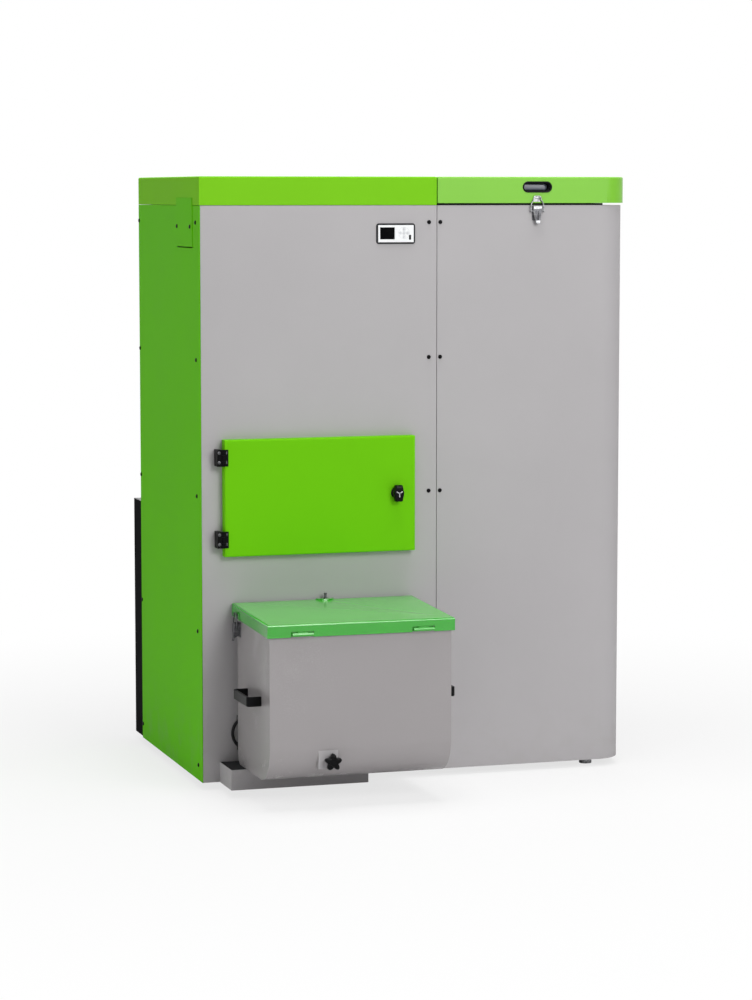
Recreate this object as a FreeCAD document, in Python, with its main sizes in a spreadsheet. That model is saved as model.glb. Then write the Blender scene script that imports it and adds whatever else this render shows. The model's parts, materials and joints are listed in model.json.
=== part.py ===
"""Pellet boiler: sheet-metal cabinet with a hopper, a fire door and an ash box that slides off.

Every piece is drawn in the cabinet's corner frame: X to the right from the outside of the
left side, Y to the back from the front face, Z up from the floor. `put` moves it from there
to the part's origin, on the floor under the middle of the whole boiler.
"""
import FreeCAD
import Part
import Sketcher
import os
import re
from FreeCAD import Placement, Rotation, Vector

# Driving sizes in millimetres, angles in degrees.
SIZES = {
    # Cabinet
    "cabinet_width": 1040, "cabinet_depth": 605, "cabinet_height": 1400, "foot_height": 17,
    "sheet_gauge": 2, "corner_radius": 64, "seam_place": 564.5, "seam_gap": 1, "fold_width": 18,
    "cover_height": 65, "cover_gap": 0.6, "cover_edge": 4,
    # Clearances
    "fit_gap": 0.3, "running_gap": 0.05, "clear_gap": 1,
    # Base frame and feet
    "tray_gauge": 3, "post_leg": 20, "post_gauge": 3, "stand_leg": 30, "stand_inset": 20,
    "foot_radius": 15, "foot_pad": 12, "foot_stem": 6, "foot_inset_side": 79, "foot_inset_front": 52,
    # Panel screws
    "screw_lowest": 36, "screw_highest": 38.4, "screw_head_radius": 4.8, "screw_head_rise": 2.4,
    "screw_radius": 2, "screw_length": 8, "screw_play": 0.2, "seam_screw_left": 19.5,
    "seam_screw_right": 8, "side_screw_front": 34, "side_screw_rear": 8, "rear_screw_inset": 15,
    # Strap that locks the left cover down
    "strap_gauge": 1.5, "strap_front": 62, "strap_width": 150, "strap_lap": 17.5, "strap_drop": 94,
    "strap_lip": 10, "strap_slot": 2.5, "strap_screw_rise": 46, "strap_screw_front": 18, "strap_screw_rear": 9,
    # Hopper lid, its seal, hinges and pull
    "lid_overhang": 2.5, "lid_gap": 5, "lid_side_gap": 0.5, "lid_corner_radius": 58,
    "seal_width": 12, "seal_inset": 5, "seal_right": 64,
    "lid_hinge_length": 60, "lid_hinge_leaf": 28, "lid_hinge_inset": 90,
    "leaf_gauge": 2, "barrel_radius": 4.5, "pin_radius": 2, "knuckle_share": 0.5,
    "pull_place": 809.8, "pull_length": 73, "pull_height": 26, "pull_depth": 20, "pull_rim": 2.5,
    "pull_proud": 1.5, "pull_rise": 42,
    # Hopper
    "deck_gauge": 3, "chute_inset": 25, "chute_right": 78, "chute_front": 26, "chute_rear": 34,
    "chute_knee": 1000, "throat_width": 90, "throat_length": 60, "throat_top": 690,
    # Toggle latches
    "latch_place": 808.6, "latch_drop": 5, "ear_place": 7, "ear_gauge": 1.6, "ear_half": 2.8,
    "cheek_place": 9, "cheek_gauge": 1.4, "bail_place": 14.5, "bail_gauge": 2, "bail_half": 1.5,
    "latch_plate": 1.5, "latch_plate_half": 11, "latch_plate_drop": 30, "latch_plate_rise": 4,
    "lever_length": 38, "lever_lift": 0.7, "lever_rise": 3.5, "lever_skin": 1.5,
    "lever_skin_start": 5, "lever_throw": 9, "bail_rise": 27, "bail_bar": 3, "pivot_radius": 1.5,
    "keeper_rise": 2.1, "latch_play": 0.4, "keeper_half": 9, "keeper_height": 11,
    # Display
    "bezel_left": 417.3, "bezel_width": 93.8, "bezel_drop": 41, "bezel_height": 47.4,
    "bezel_proud": 3, "bezel_border": 4.2, "bezel_lip": 2.4, "plate_gauge": 2, "plate_proud": 0.4,
    "screen_inset_side": 4.7, "screen_inset_low": 6.8, "screen_width": 34.6, "screen_height": 27,
    "screen_gauge": 0.9, "keypad_place": 62, "keypad_rise": 21.1, "key_ring": 8.6, "key_radius": 2.6,
    "key_proud": 0.7, "key_length": 5, "key_play": 0.25, "slot_place": 73.9, "slot_rise": 5.6,
    "slot_width": 5.1, "slot_height": 11, "slot_depth": 1.2,
    # Fire door
    "door_left": 50, "door_width": 455, "door_bottom": 539, "door_height": 267, "door_proud": 25,
    "door_gap": 0.5, "door_edge": 5, "opening_left": 88, "opening_width": 390,
    "opening_bottom": 560, "opening_height": 225, "plug_margin": 14, "mouth_left": 120,
    "mouth_width": 310, "mouth_bottom": 589, "mouth_height": 165, "plug_gap": 0.3,
    "gasket_height": 6.7, "hinge_axis_gap": 4, "hinge_axis_proud": 2, "door_barrel": 4,
    "door_pin": 1.8, "door_hinge_height": 38, "door_hinge_low": 40, "door_hinge_high": 226.5,
    "hinge_block": 10, "door_leaf": 8,
    # Door lock
    "lock_inset": 45.7, "lock_rise": 135.5, "lock_rod": 5, "lock_hub": 12, "lock_lobe": 9,
    "lock_lobe_reach": 10, "lock_proud": 22, "lock_neck": 6, "lock_key": 5.5, "lock_key_proud": 1.5,
    "cam_length": 30, "cam_half": 7, "cam_gauge": 3, "cam_gap": 1.3,
    # Plinth and ash box
    "plinth_left": 41, "plinth_width": 325, "plinth_reach": 105, "plinth_height": 47,
    "bin_left": 76.5, "bin_width": 421, "bin_reach": 305, "bin_gap": 30, "bin_height": 345,
    "bin_toe": 80, "bin_heel": 25, "bin_lid_tilt": 2, "bin_overhang": 6.5, "bin_lid_height": 29,
    "bin_lid_lap": 17, "bin_lid_rear": 5, "bin_lid_edge": 4, "bin_hinge_proud": 2.5,
    "bin_hinge_rise": 6, "bin_hinge_left": 150, "bin_hinge_pitch": 280, "bin_hinge_length": 48,
    "bin_leaf_gauge": 1.5, "bin_barrel": 4, "bin_pin": 1.6, "notch_play": 1.5, "notch_rise": 6.5,
    "bin_leaf": 14,
    "boss_place": 290, "boss_radius": 21, "boss_rise": 2.4, "boss_sink": 1.2, "boss_inset": 3,
    "stud_radius": 3, "stud_height": 13,
    "grip_front": 237, "grip_length": 122, "grip_bottom": 230, "grip_height": 22, "grip_out": 33.5,
    "grip_gauge": 6, "grip_corner": 8,
    "bin_latch_inset": 20, "bin_latch_drop": 12,
    # Clamp knob of the ash box
    "knob_place": 217, "knob_rise": 112, "bracket_width": 45, "bracket_height": 41,
    "bracket_left": 188, "bracket_bottom": 95, "knob_hub": 12, "knob_lobe": 6, "knob_lobe_reach": 13.5,
    "knob_thick": 16, "knob_neck": 9, "knob_shaft": 5, "knob_seat": 4.5,
    # Lead between two glands behind the ash box
    "lead_radius": 3.5, "lead_bend": 38, "lead_left": 69, "lead_middle": 130.5, "lead_out": 12,
    "lead_sweep": 110, "gland_width": 22, "gland_height": 18, "gland_out": 19,
    # Boiler vessel and fire
    "vessel_width": 430, "vessel_front": 45, "vessel_depth": 480, "vessel_bottom": 360,
    "vessel_head": 49.4, "vessel_gauge": 5, "jacket": 40,
    "lining": 25, "lining_height": 380, "pot_width": 130, "pot_front": 170, "pot_depth": 130,
    "pot_height": 70, "pot_wall": 12, "pot_floor": 15, "grate_hole": 5, "grate_pitch": 26,
    # Pellet feed
    "feed_depth": 235, "feed_rise": 620, "feed_end": 330, "feed_tube_right": 900, "feed_tube": 35,
    "feed_wall": 3, "feed_flight": 29, "feed_shaft": 9, "feed_pitch": 50, "feed_duct": 37,
    "throat_place": 800, "feed_leg_inset": 25, "flight_gauge": 3, "flight_end": 15,
    "motor_radius": 42, "motor_length": 105, "motor_bore": 40,
    # Ash screw
    "ash_rise": 300, "ash_tube": 50, "ash_wall": 4, "ash_flight": 42, "ash_shaft": 10,
    "ash_pitch": 70, "ash_reach": 45, "ash_tube_rear": 430, "ash_hole_play": 4,
    "ash_chute_front": 310, "ash_chute_length": 100, "ash_chute_width": 100, "ash_leg_front": 130,
    # Smoke fan and its rear cover
    "rear_box_left": 2, "rear_box_width": 350, "rear_box_height": 588, "rear_box_depth": 85,
    "rear_box_gauge": 1.5, "rear_box_rise": 2, "vent_length": 90, "vent_height": 6, "vent_pitch": 16,
    "vent_left": 60, "vent_bottom": 120, "casing_left": 80, "casing_width": 250,
    "casing_bottom": 395, "casing_height": 210, "casing_depth": 60, "fan_place": 180,
    "fan_rise": 500, "smoke_bore": 42, "smoke_collar": 45, "flue_place": 285, "flue_radius": 40,
    "flue_neck": 38.5, "flue_wall": 1.5, "flue_length": 65, "fan_wheel": 70, "fan_disc": 3,
    "fan_hub": 14, "fan_blade_height": 28, "fan_blade_gauge": 2, "fan_blade_start": 34,
    "fan_shaft": 4, "fan_motor_radius": 30, "fan_motor_length": 20, "fan_setback": 12,
    # Water and air connections on the back
    "stub_place": 420, "flow_drop": 134.4, "return_rise": 440, "stub_radius": 15, "stub_bore": 13,
    "stub_thread": 16.6, "stub_thread_length": 38, "stub_collar": 7,
    "air_place": 700, "air_rise": 200, "air_radius": 30, "air_wall": 2, "air_length": 40,
}

SCREW_ROWS = 5
FAN_BLADES = 10
VENT_SLOTS = 14
LEAD_START = 125
X_AXIS, Y_AXIS, Z_AXIS = Vector(1, 0, 0), Vector(0, 1, 0), Vector(0, 0, 1)

# Places that several pieces share, as formulas of the driving sizes.
PANEL_TOP = "(cabinet_height - cover_height - cover_gap)"
PANEL_HEIGHT = f"({PANEL_TOP} - foot_height)"
TRAY_TOP = "(foot_height + tray_gauge)"
DECK_BOTTOM = f"({PANEL_TOP} - deck_gauge)"
SEAM_LEFT = "(seam_place - seam_gap / 2)"
SEAM_RIGHT = "(seam_place + seam_gap / 2)"
BACK = "cabinet_depth"
STRAP_BOTTOM = f"({PANEL_TOP} - strap_drop)"
LID_BOTTOM = f"({PANEL_TOP} + lid_gap)"
LID_LEFT = f"({SEAM_RIGHT} + lid_side_gap)"
BAY = "(seam_place / 2)"
FLUE_END = "(cabinet_depth + rear_box_depth + sheet_gauge + flue_length)"
BIN_BOTTOM = "(foot_height + plinth_height + fit_gap)"
BIN_RIM = f"({BIN_BOTTOM} + bin_height)"
BIN_SKIRT = f"({BIN_RIM} - bin_lid_lap)"
BIN_AXIS_Y = "(-bin_reach - bin_overhang - bin_hinge_proud)"
BIN_AXIS_Z = f"({BIN_SKIRT} + bin_hinge_rise)"
BIN_LID_LENGTH = "(bin_reach + bin_overhang - bin_lid_rear)"
KNOB_REACH = "(bin_reach + knob_neck + knob_thick)"
LOCK_X = "(door_left + door_width - lock_inset)"
LOCK_Z = "(door_bottom + lock_rise)"
DOOR_AXIS_X = "(door_left - hinge_axis_gap)"
DOOR_AXIS_Y = "(-door_proud - hinge_axis_proud)"
PLATE_X = "(bezel_left + bezel_border)"
BEZEL_BOTTOM = f"({PANEL_TOP} - bezel_drop - bezel_height)"
PLATE_Z = f"({BEZEL_BOTTOM} + bezel_border)"
FLOW_RISE = f"({PANEL_TOP} - flow_drop)"
ORIGIN_X = "(cabinet_width + lid_overhang - strap_gauge - screw_head_rise) / 2"
ORIGIN_Y = f"({FLUE_END} - {KNOB_REACH}) / 2"

doc = FreeCAD.newDocument("PelletBoiler")
sheet = doc.addObject("Spreadsheet::Sheet", "Sizes")
for row, (alias, size) in enumerate(SIZES.items(), start=1):
    sheet.set(f"A{row}", alias)
    sheet.set(f"B{row}", str(size))
    sheet.setAlias(f"B{row}", alias)
doc.recompute()

pieces = []


def formula(text):
    """Point every size word of a formula at its cell in the sheet."""
    return re.sub(r"[a-z_]+", lambda word: f"Sizes.{word[0]}" if word[0] in SIZES else word[0], str(text))


def bind(item, **formulas):
    """Bind properties of an object to formulas of the sheet."""
    for name, text in formulas.items():
        item.setExpression(name, formula(text))
    return item


def put(item, x, y, z, turn=None, local=False):
    """Place an object at a point of the corner frame, or of its own frame if local."""
    if turn:
        item.Placement = Placement(Vector(), turn)
    shift_x, shift_y = ("0", "0") if local else (ORIGIN_X, ORIGIN_Y)
    item.setExpression("Placement.Base.x", formula(f"{x} - {shift_x}"))
    item.setExpression("Placement.Base.y", formula(f"{y} - {shift_y}"))
    item.setExpression("Placement.Base.z", formula(z))
    return item


def block(x, y, z, local=False):
    """Box between pairs of formulas along each axis."""
    item = doc.addObject("Part::Box", "Block")
    bind(item, Length=f"({x[1]}) - ({x[0]})", Width=f"({y[1]}) - ({y[0]})", Height=f"({z[1]}) - ({z[0]})")
    return put(item, x[0], y[0], z[0], local=local)


def rod(axis, centre, radius, span, local=False):
    """Cylinder along X, Y or Z; centre gives its two other coordinates in X, Y, Z order."""
    item = doc.addObject("Part::Cylinder", "Rod")
    bind(item, Radius=radius, Height=f"({span[1]}) - ({span[0]})")
    if axis == "X":
        return put(item, span[0], centre[0], centre[1], Rotation(Y_AXIS, 90), local)
    if axis == "Y":
        return put(item, centre[0], span[0], centre[1], Rotation(X_AXIS, -90), local)
    return put(item, centre[0], centre[1], span[0], local=local)


def join(*items):
    """Fuse overlapping or touching shapes into one solid."""
    result = doc.addObject("Part::MultiFuse", "Joined")
    result.Shapes = list(items)
    result.Refine = True
    return result


def cut(base, *tools):
    """Take one or more shapes out of a base."""
    result = doc.addObject("Part::Cut", "Trimmed")
    result.Base = base
    result.Tool = tools[0] if len(tools) == 1 else join(*tools)
    result.Refine = True
    return result


def group(*items):
    """Keep separate solids together as one sub-part."""
    result = doc.addObject("Part::Compound", "Set")
    result.Links = list(items)
    return result


def piece(label, item):
    """Name a finished sub-part and add it to the list that is written."""
    item.Label = label
    pieces.append(item)
    return item


def around(place, half):
    """Pair of formulas for a span centred on a place."""
    return f"{place} - ({half})", f"{place} + ({half})"


def from_(start, length):
    """Pair of formulas for a span that starts at a place."""
    return start, f"{start} + ({length})"


def new_body(name):
    """Empty PartDesign body."""
    return doc.addObject("PartDesign::Body", name)


def new_sketch(body, plane):
    """Sketch on one of the body's own origin planes."""
    sketch = body.newObject("Sketcher::SketchObject", "Outline")
    support = next(item for item in body.Origin.OriginFeatures if item.Role == plane)
    sketch.AttachmentSupport = (support, [""])
    sketch.MapMode = "FlatFace"
    return sketch


def dimension(sketch, kind, *where, name, text):
    """Named constraint whose value follows a formula."""
    index = sketch.addConstraint(Sketcher.Constraint(kind, *where))
    sketch.renameConstraint(index, name)
    sketch.setExpression(f"Constraints.{name}", formula(text))


def outline(body, plane, corners):
    """Closed outline of straight lines; each corner is a pair of formulas."""
    sketch = new_sketch(body, plane)
    count = len(corners)
    ring = [Rotation(Z_AXIS, 360 * index / count).multVec(Vector(100, 0, 0)) for index in range(count)]
    for index in range(count):
        sketch.addGeometry(Part.LineSegment(ring[index], ring[(index + 1) % count]))
    for index in range(count):
        sketch.addConstraint(Sketcher.Constraint("Coincident", index, 2, (index + 1) % count, 1))
    for index, (across, along) in enumerate(corners):
        dimension(sketch, "DistanceX", -1, 1, index, 1, ring[index].x, name=f"across{index}", text=across)
        dimension(sketch, "DistanceY", -1, 1, index, 1, ring[index].y, name=f"along{index}", text=along)
    return sketch


def rectangle(body, plane, across, along):
    """Rectangular outline between two pairs of formulas."""
    return outline(body, plane, [(across[0], along[0]), (across[1], along[0]),
                                 (across[1], along[1]), (across[0], along[1])])


def circle(body, plane, radius, reach="0"):
    """Circle on the sketch's horizontal axis, a reach away from its origin."""
    sketch = new_sketch(body, plane)
    sketch.addGeometry(Part.Circle(Vector(10, 0, 0), Z_AXIS, 5))
    sketch.addConstraint(Sketcher.Constraint("PointOnObject", 0, 3, -1))
    dimension(sketch, "DistanceX", -1, 1, 0, 3, 10, name="reach", text=reach)
    dimension(sketch, "Radius", 0, 5, name="radius", text=radius)
    return sketch


def pad(body, sketch, length, back=False):
    """Pad of a sketch along its normal, or against it."""
    feature = body.newObject("PartDesign::Pad", "Pad")
    feature.Profile = sketch
    feature.Reversed = back
    return bind(feature, Length=length)


def polar(body, feature, count):
    """Repeat a feature round the body's Z axis."""
    pattern = body.newObject("PartDesign::PolarPattern", "Ring")
    pattern.Originals = [feature]
    pattern.Axis = (next(item for item in body.Origin.OriginFeatures if item.Role == "Z_Axis"), [""])
    pattern.Angle = 360
    pattern.Occurrences = count
    body.Tip = pattern
    return pattern


def rounded(body, base, radius, wanted):
    """Fillet of the edges of a feature that pass a test on their box and the feature's box."""
    doc.recompute()
    whole = base.Shape.BoundBox
    names = [f"Edge{index}" for index, edge in enumerate(base.Shape.Edges, start=1)
             if wanted(edge.BoundBox, whole)]
    feature = body.newObject("PartDesign::Fillet", "Rounding")
    feature.Base = (base, names)
    return bind(feature, Radius=radius)


def hollowed(body, base, gauge, wanted):
    """Sheet wall inside a feature, open at the face that passes the test."""
    doc.recompute()
    whole = base.Shape.BoundBox
    names = [f"Face{index}" for index, face in enumerate(base.Shape.Faces, start=1)
             if wanted(face.BoundBox, whole)]
    feature = body.newObject("PartDesign::Thickness", "Wall")
    feature.Base = (base, names)
    feature.Reversed = True
    return bind(feature, Value=gauge)


def same(first, second):
    """True where two coordinates agree."""
    return abs(first - second) < 0.01


def upright_at(edge, x, y):
    """True for an edge along Z at a point."""
    return same(edge.XMin, x) and same(edge.XMax, x) and same(edge.YMin, y) and same(edge.YMax, y)


def on_top(box, whole):
    """True for an edge or face at the top of the whole."""
    return same(box.ZMin, whole.ZMax)


def at_bottom(box, whole):
    """True for an edge or face at the bottom of the whole."""
    return same(box.ZMax, whole.ZMin)


def screw_heights():
    """Heights of the rows of panel screws."""
    pitch = f"({PANEL_HEIGHT} - screw_lowest - screw_highest) / {SCREW_ROWS - 1}"
    return [f"(foot_height + screw_lowest + {row} * {pitch})" for row in range(SCREW_ROWS)]


class ScrewRun:
    """Panel screws driven through one wall, with the holes that they need."""

    def __init__(self, axis, face, inward, places):
        """Take the wall's outer face, its inward sign along the axis, and the two other coordinates."""
        self.axis, self.face, self.inward, self.places = axis, face, inward, places

    def span(self, start, stop):
        """Depths below the face as a rising pair of formulas."""
        if self.inward > 0:
            return f"{self.face} + ({start})", f"{self.face} + ({stop})"
        return f"{self.face} - ({stop})", f"{self.face} - ({start})"

    def screws(self):
        """Pan-head screws, each one solid."""
        head, shank = self.span("-screw_head_rise", "0"), self.span("-screw_head_rise", "screw_length")
        return [join(rod(self.axis, place, "screw_head_radius", head),
                     rod(self.axis, place, "screw_radius", shank)) for place in self.places]

    def holes(self):
        """Clearance holes for the shanks."""
        depth = self.span("0", "screw_length + clear_gap")
        return [rod(self.axis, place, "screw_radius + screw_play", depth) for place in self.places]


def columns(*places):
    """Every screw row at each of the given places across a wall."""
    return [(place, height) for place in places for height in screw_heights()]


RUNS = {
    "left": ScrewRun("X", "0", 1, columns("side_screw_front", f"({BACK} - side_screw_rear)")),
    "seam_left": ScrewRun("Y", "0", 1, columns("(seam_place - seam_screw_left)")),
    "seam_right": ScrewRun("Y", "0", 1, columns("(seam_place + seam_screw_right)")),
    "right": ScrewRun("X", "cabinet_width", -1, columns(f"({BACK} - side_screw_rear)")),
    "rear": ScrewRun("Y", BACK, -1, columns("rear_screw_inset", "(cabinet_width - rear_screw_inset)")),
    "strap": ScrewRun("X", "(-strap_gauge)", 1, [
        ("(strap_front + strap_screw_front)", f"({STRAP_BOTTOM} + strap_screw_rise)"),
        ("(strap_front + strap_width - strap_screw_rear)", f"({STRAP_BOTTOM} + strap_screw_rise)")]),
}


def rounded_plate(name, length, depth, corner, gauge):
    """Flat plate with one round corner at its front right."""
    body = new_body(name)
    plate = pad(body, rectangle(body, "XY_Plane", ("0", length), ("0", depth)), gauge)
    rounded(body, plate, corner, lambda edge, whole: upright_at(edge, whole.XMax, whole.YMin))
    return body


def corner_plate(name, left, gauge, bottom):
    """Plate that fits inside the cabinet's walls and its round corner."""
    plate = rounded_plate(name, f"cabinet_width - sheet_gauge - fit_gap - {left}",
                          "cabinet_depth - 2 * sheet_gauge - 2 * fit_gap",
                          "corner_radius - sheet_gauge - fit_gap", gauge)
    return put(plate, left, "sheet_gauge + fit_gap", bottom)


def post(x, y, top, side, front):
    """Upright angle on the tray, with one leg on a side wall and one along the front or back."""
    return [block(side, y, (TRAY_TOP, top)), block(x, front, (TRAY_TOP, top))]


def build_frame():
    """Tray, corner posts and the stand that carries the vessel, welded into one."""
    tray = corner_plate("Tray", "(sheet_gauge + fit_gap)", "tray_gauge", "foot_height")
    inner, wall = "sheet_gauge", "post_gauge"
    low_top = f"{PANEL_TOP} - 2 * sheet_gauge - fit_gap"
    right = "(cabinet_width - sheet_gauge)"
    rear = f"({BACK} - sheet_gauge)"
    legs = []
    front_left = around("side_screw_front", "post_leg / 2")
    legs += post(from_(inner, "post_leg"), front_left, low_top, from_(inner, wall),
                 (f"{front_left[1]} - {wall}", front_left[1]))
    rear_span = (f"{rear} - post_leg", rear)
    rear_leg = (f"{rear} - {wall}", rear)
    legs += post(from_(inner, "post_leg"), rear_span, low_top, from_(inner, wall), rear_leg)
    legs += post((f"{right} - post_leg", right), rear_span, DECK_BOTTOM,
                 (f"{right} - {wall}", right), rear_leg)
    front_span, front_leg = from_(inner, "post_leg"), from_(inner, wall)
    left_of_seam = around("(seam_place - seam_screw_left)", "post_leg / 2")
    legs += post(left_of_seam, front_span, DECK_BOTTOM, from_(left_of_seam[0], wall), front_leg)
    right_of_seam = from_(f"({SEAM_RIGHT} + sheet_gauge + fit_gap)", "post_leg")
    legs += post(right_of_seam, front_span, DECK_BOTTOM, (f"{right_of_seam[1]} - {wall}", right_of_seam[1]),
                 front_leg)
    stand_left = f"({BAY} - vessel_width / 2 + stand_inset)"
    stand_right = f"({BAY} + vessel_width / 2 - stand_inset - stand_leg)"
    for x in (stand_left, stand_right):
        for y in ("(vessel_front + stand_inset)",
                  "(vessel_front + vessel_depth - stand_inset - stand_leg)"):
            legs.append(block(from_(x, "stand_leg"), from_(y, "stand_leg"), (TRAY_TOP, "vessel_bottom")))
    holes = [hole for name, run in RUNS.items() if name != "strap" for hole in run.holes()]
    folds = block((f"{SEAM_LEFT} - sheet_gauge - fit_gap", f"{SEAM_RIGHT} + sheet_gauge + fit_gap"),
                  ("0", "fold_width + fit_gap"), ("foot_height - clear_gap", f"{TRAY_TOP} + clear_gap"))
    piece("base_frame", cut(join(tray, *legs), folds, *holes))
    feet = []
    for x in ("foot_inset_side", "(cabinet_width - foot_inset_side)"):
        for y in ("foot_inset_front", f"({BACK} - foot_inset_front)"):
            feet.append(join(rod("Z", (x, y), "foot_radius", ("0", "foot_pad")),
                             rod("Z", (x, y), "foot_stem", ("0", "foot_height"))))
    piece("levelling_feet", group(*feet))


def build_panels():
    """Outer sheets of the cabinet, the left cover with its strap, and all panel screws."""
    body = new_body("LeftSide")
    profile = [("0", "0"), ("sheet_gauge", "0"), ("sheet_gauge", f"{PANEL_HEIGHT} - sheet_gauge"),
               ("fold_width", f"{PANEL_HEIGHT} - sheet_gauge"), ("fold_width", PANEL_HEIGHT),
               ("0", PANEL_HEIGHT)]
    pad(body, outline(body, "XZ_Plane", profile), BACK, back=True)
    put(body, "0", "0", "foot_height")
    strap_y = from_("strap_front", "strap_width")
    slit = block(("-clear_gap", "sheet_gauge + clear_gap"),
                 (f"{strap_y[0]} - fit_gap", f"{strap_y[1]} + fit_gap"),
                 (f"{STRAP_BOTTOM} - strap_slot", f"{STRAP_BOTTOM} + strap_gauge + fit_gap"))
    fold_ends = [block(("sheet_gauge", "fold_width + clear_gap"), span,
                       (f"{PANEL_TOP} - sheet_gauge - clear_gap", f"{PANEL_TOP} + clear_gap"))
                 for span in (("-clear_gap", "sheet_gauge + fit_gap"),
                              (f"{BACK} - sheet_gauge - fit_gap", f"{BACK} + clear_gap"))]
    holes = [*RUNS["left"].holes(), *RUNS["strap"].holes()]
    piece("left_side_panel", cut(body, slit, *fold_ends, *holes))

    body = new_body("FrontPanel")
    width = f"({SEAM_LEFT} - sheet_gauge - fit_gap)"
    profile = [("0", "0"), (width, "0"), (width, "fold_width"), (f"{width} - sheet_gauge", "fold_width"),
               (f"{width} - sheet_gauge", "sheet_gauge"), ("0", "sheet_gauge")]
    pad(body, outline(body, "XY_Plane", profile), PANEL_HEIGHT)
    put(body, "sheet_gauge + fit_gap", "0", "foot_height")
    through = ("-clear_gap", "sheet_gauge + clear_gap")
    opening = block(from_("opening_left", "opening_width"), through,
                    from_("opening_bottom", "opening_height"))
    window = block((f"{PLATE_X} + bezel_lip", "bezel_left + bezel_width - bezel_border - bezel_lip"),
                   through,
                   (f"{PLATE_Z} + bezel_lip", f"{PANEL_TOP} - bezel_drop - bezel_border - bezel_lip"))
    ash_hole = rod("Y", (BAY, "ash_rise"), "ash_tube + fit_gap", through)
    piece("front_panel", cut(body, opening, window, ash_hole, *RUNS["seam_left"].holes()))

    body = new_body("HopperPanel")
    width = f"(cabinet_width - {SEAM_RIGHT})"
    inner = f"({width} - sheet_gauge)"
    profile = [("0", "0"), (width, "0"), (width, BACK), (inner, BACK), (inner, "sheet_gauge"),
               ("sheet_gauge", "sheet_gauge"), ("sheet_gauge", "fold_width"), ("0", "fold_width")]
    wrap = pad(body, outline(body, "XY_Plane", profile), PANEL_HEIGHT)
    outer = rounded(body, wrap, "corner_radius",
                    lambda edge, whole: upright_at(edge, whole.XMax, whole.YMin))
    gauge = SIZES["sheet_gauge"]
    rounded(body, outer, "corner_radius - sheet_gauge",
            lambda edge, whole: upright_at(edge, whole.XMax - gauge, whole.YMin + gauge))
    put(body, SEAM_RIGHT, "0", "foot_height")
    piece("hopper_wrap_panel", cut(body, *RUNS["seam_right"].holes(), *RUNS["right"].holes()))

    sheet_span = (f"{BACK} - sheet_gauge", BACK)
    rear = block(("sheet_gauge + fit_gap", "cabinet_width - sheet_gauge - fit_gap"), sheet_span,
                 ("foot_height", PANEL_TOP))
    drilled = (f"{BACK} - sheet_gauge - clear_gap", f"{BACK} + clear_gap")
    collar = rod("Y", ("air_place", "air_rise"), "air_radius",
                 (f"{BACK} - sheet_gauge", f"{BACK} + air_length"))
    bore = rod("Y", ("air_place", "air_rise"), "air_radius - air_wall",
               (f"{BACK} - sheet_gauge - clear_gap", f"{BACK} + air_length + clear_gap"))
    pipes = [rod("Y", ("stub_place", rise), "stub_radius + clear_gap", drilled)
             for rise in (FLOW_RISE, "return_rise")]
    smoke = rod("Y", ("fan_place", "fan_rise"), "smoke_collar + fit_gap", drilled)
    piece("rear_panel", cut(join(rear, collar), bore, smoke, *pipes, *RUNS["rear"].holes()))

    body = new_body("LeftCover")
    shape = pad(body, rectangle(body, "XY_Plane", ("0", SEAM_LEFT), ("0", BACK)), "cover_height")
    shape = rounded(body, shape, "cover_edge", on_top)
    hollowed(body, shape, "sheet_gauge", at_bottom)
    piece("top_cover", put(body, "0", "0", f"{PANEL_TOP} + cover_gap"))

    strap = block(("-strap_gauge", "0"), strap_y, (STRAP_BOTTOM, f"{PANEL_TOP} + strap_lap"))
    lip = block(("-strap_gauge", "sheet_gauge + strap_lip"), strap_y, from_(STRAP_BOTTOM, "strap_gauge"))
    piece("cover_strap", cut(join(strap, lip), *RUNS["strap"].holes()))
    piece("panel_screws", group(*[screw for run in RUNS.values() for screw in run.screws()]))


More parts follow.
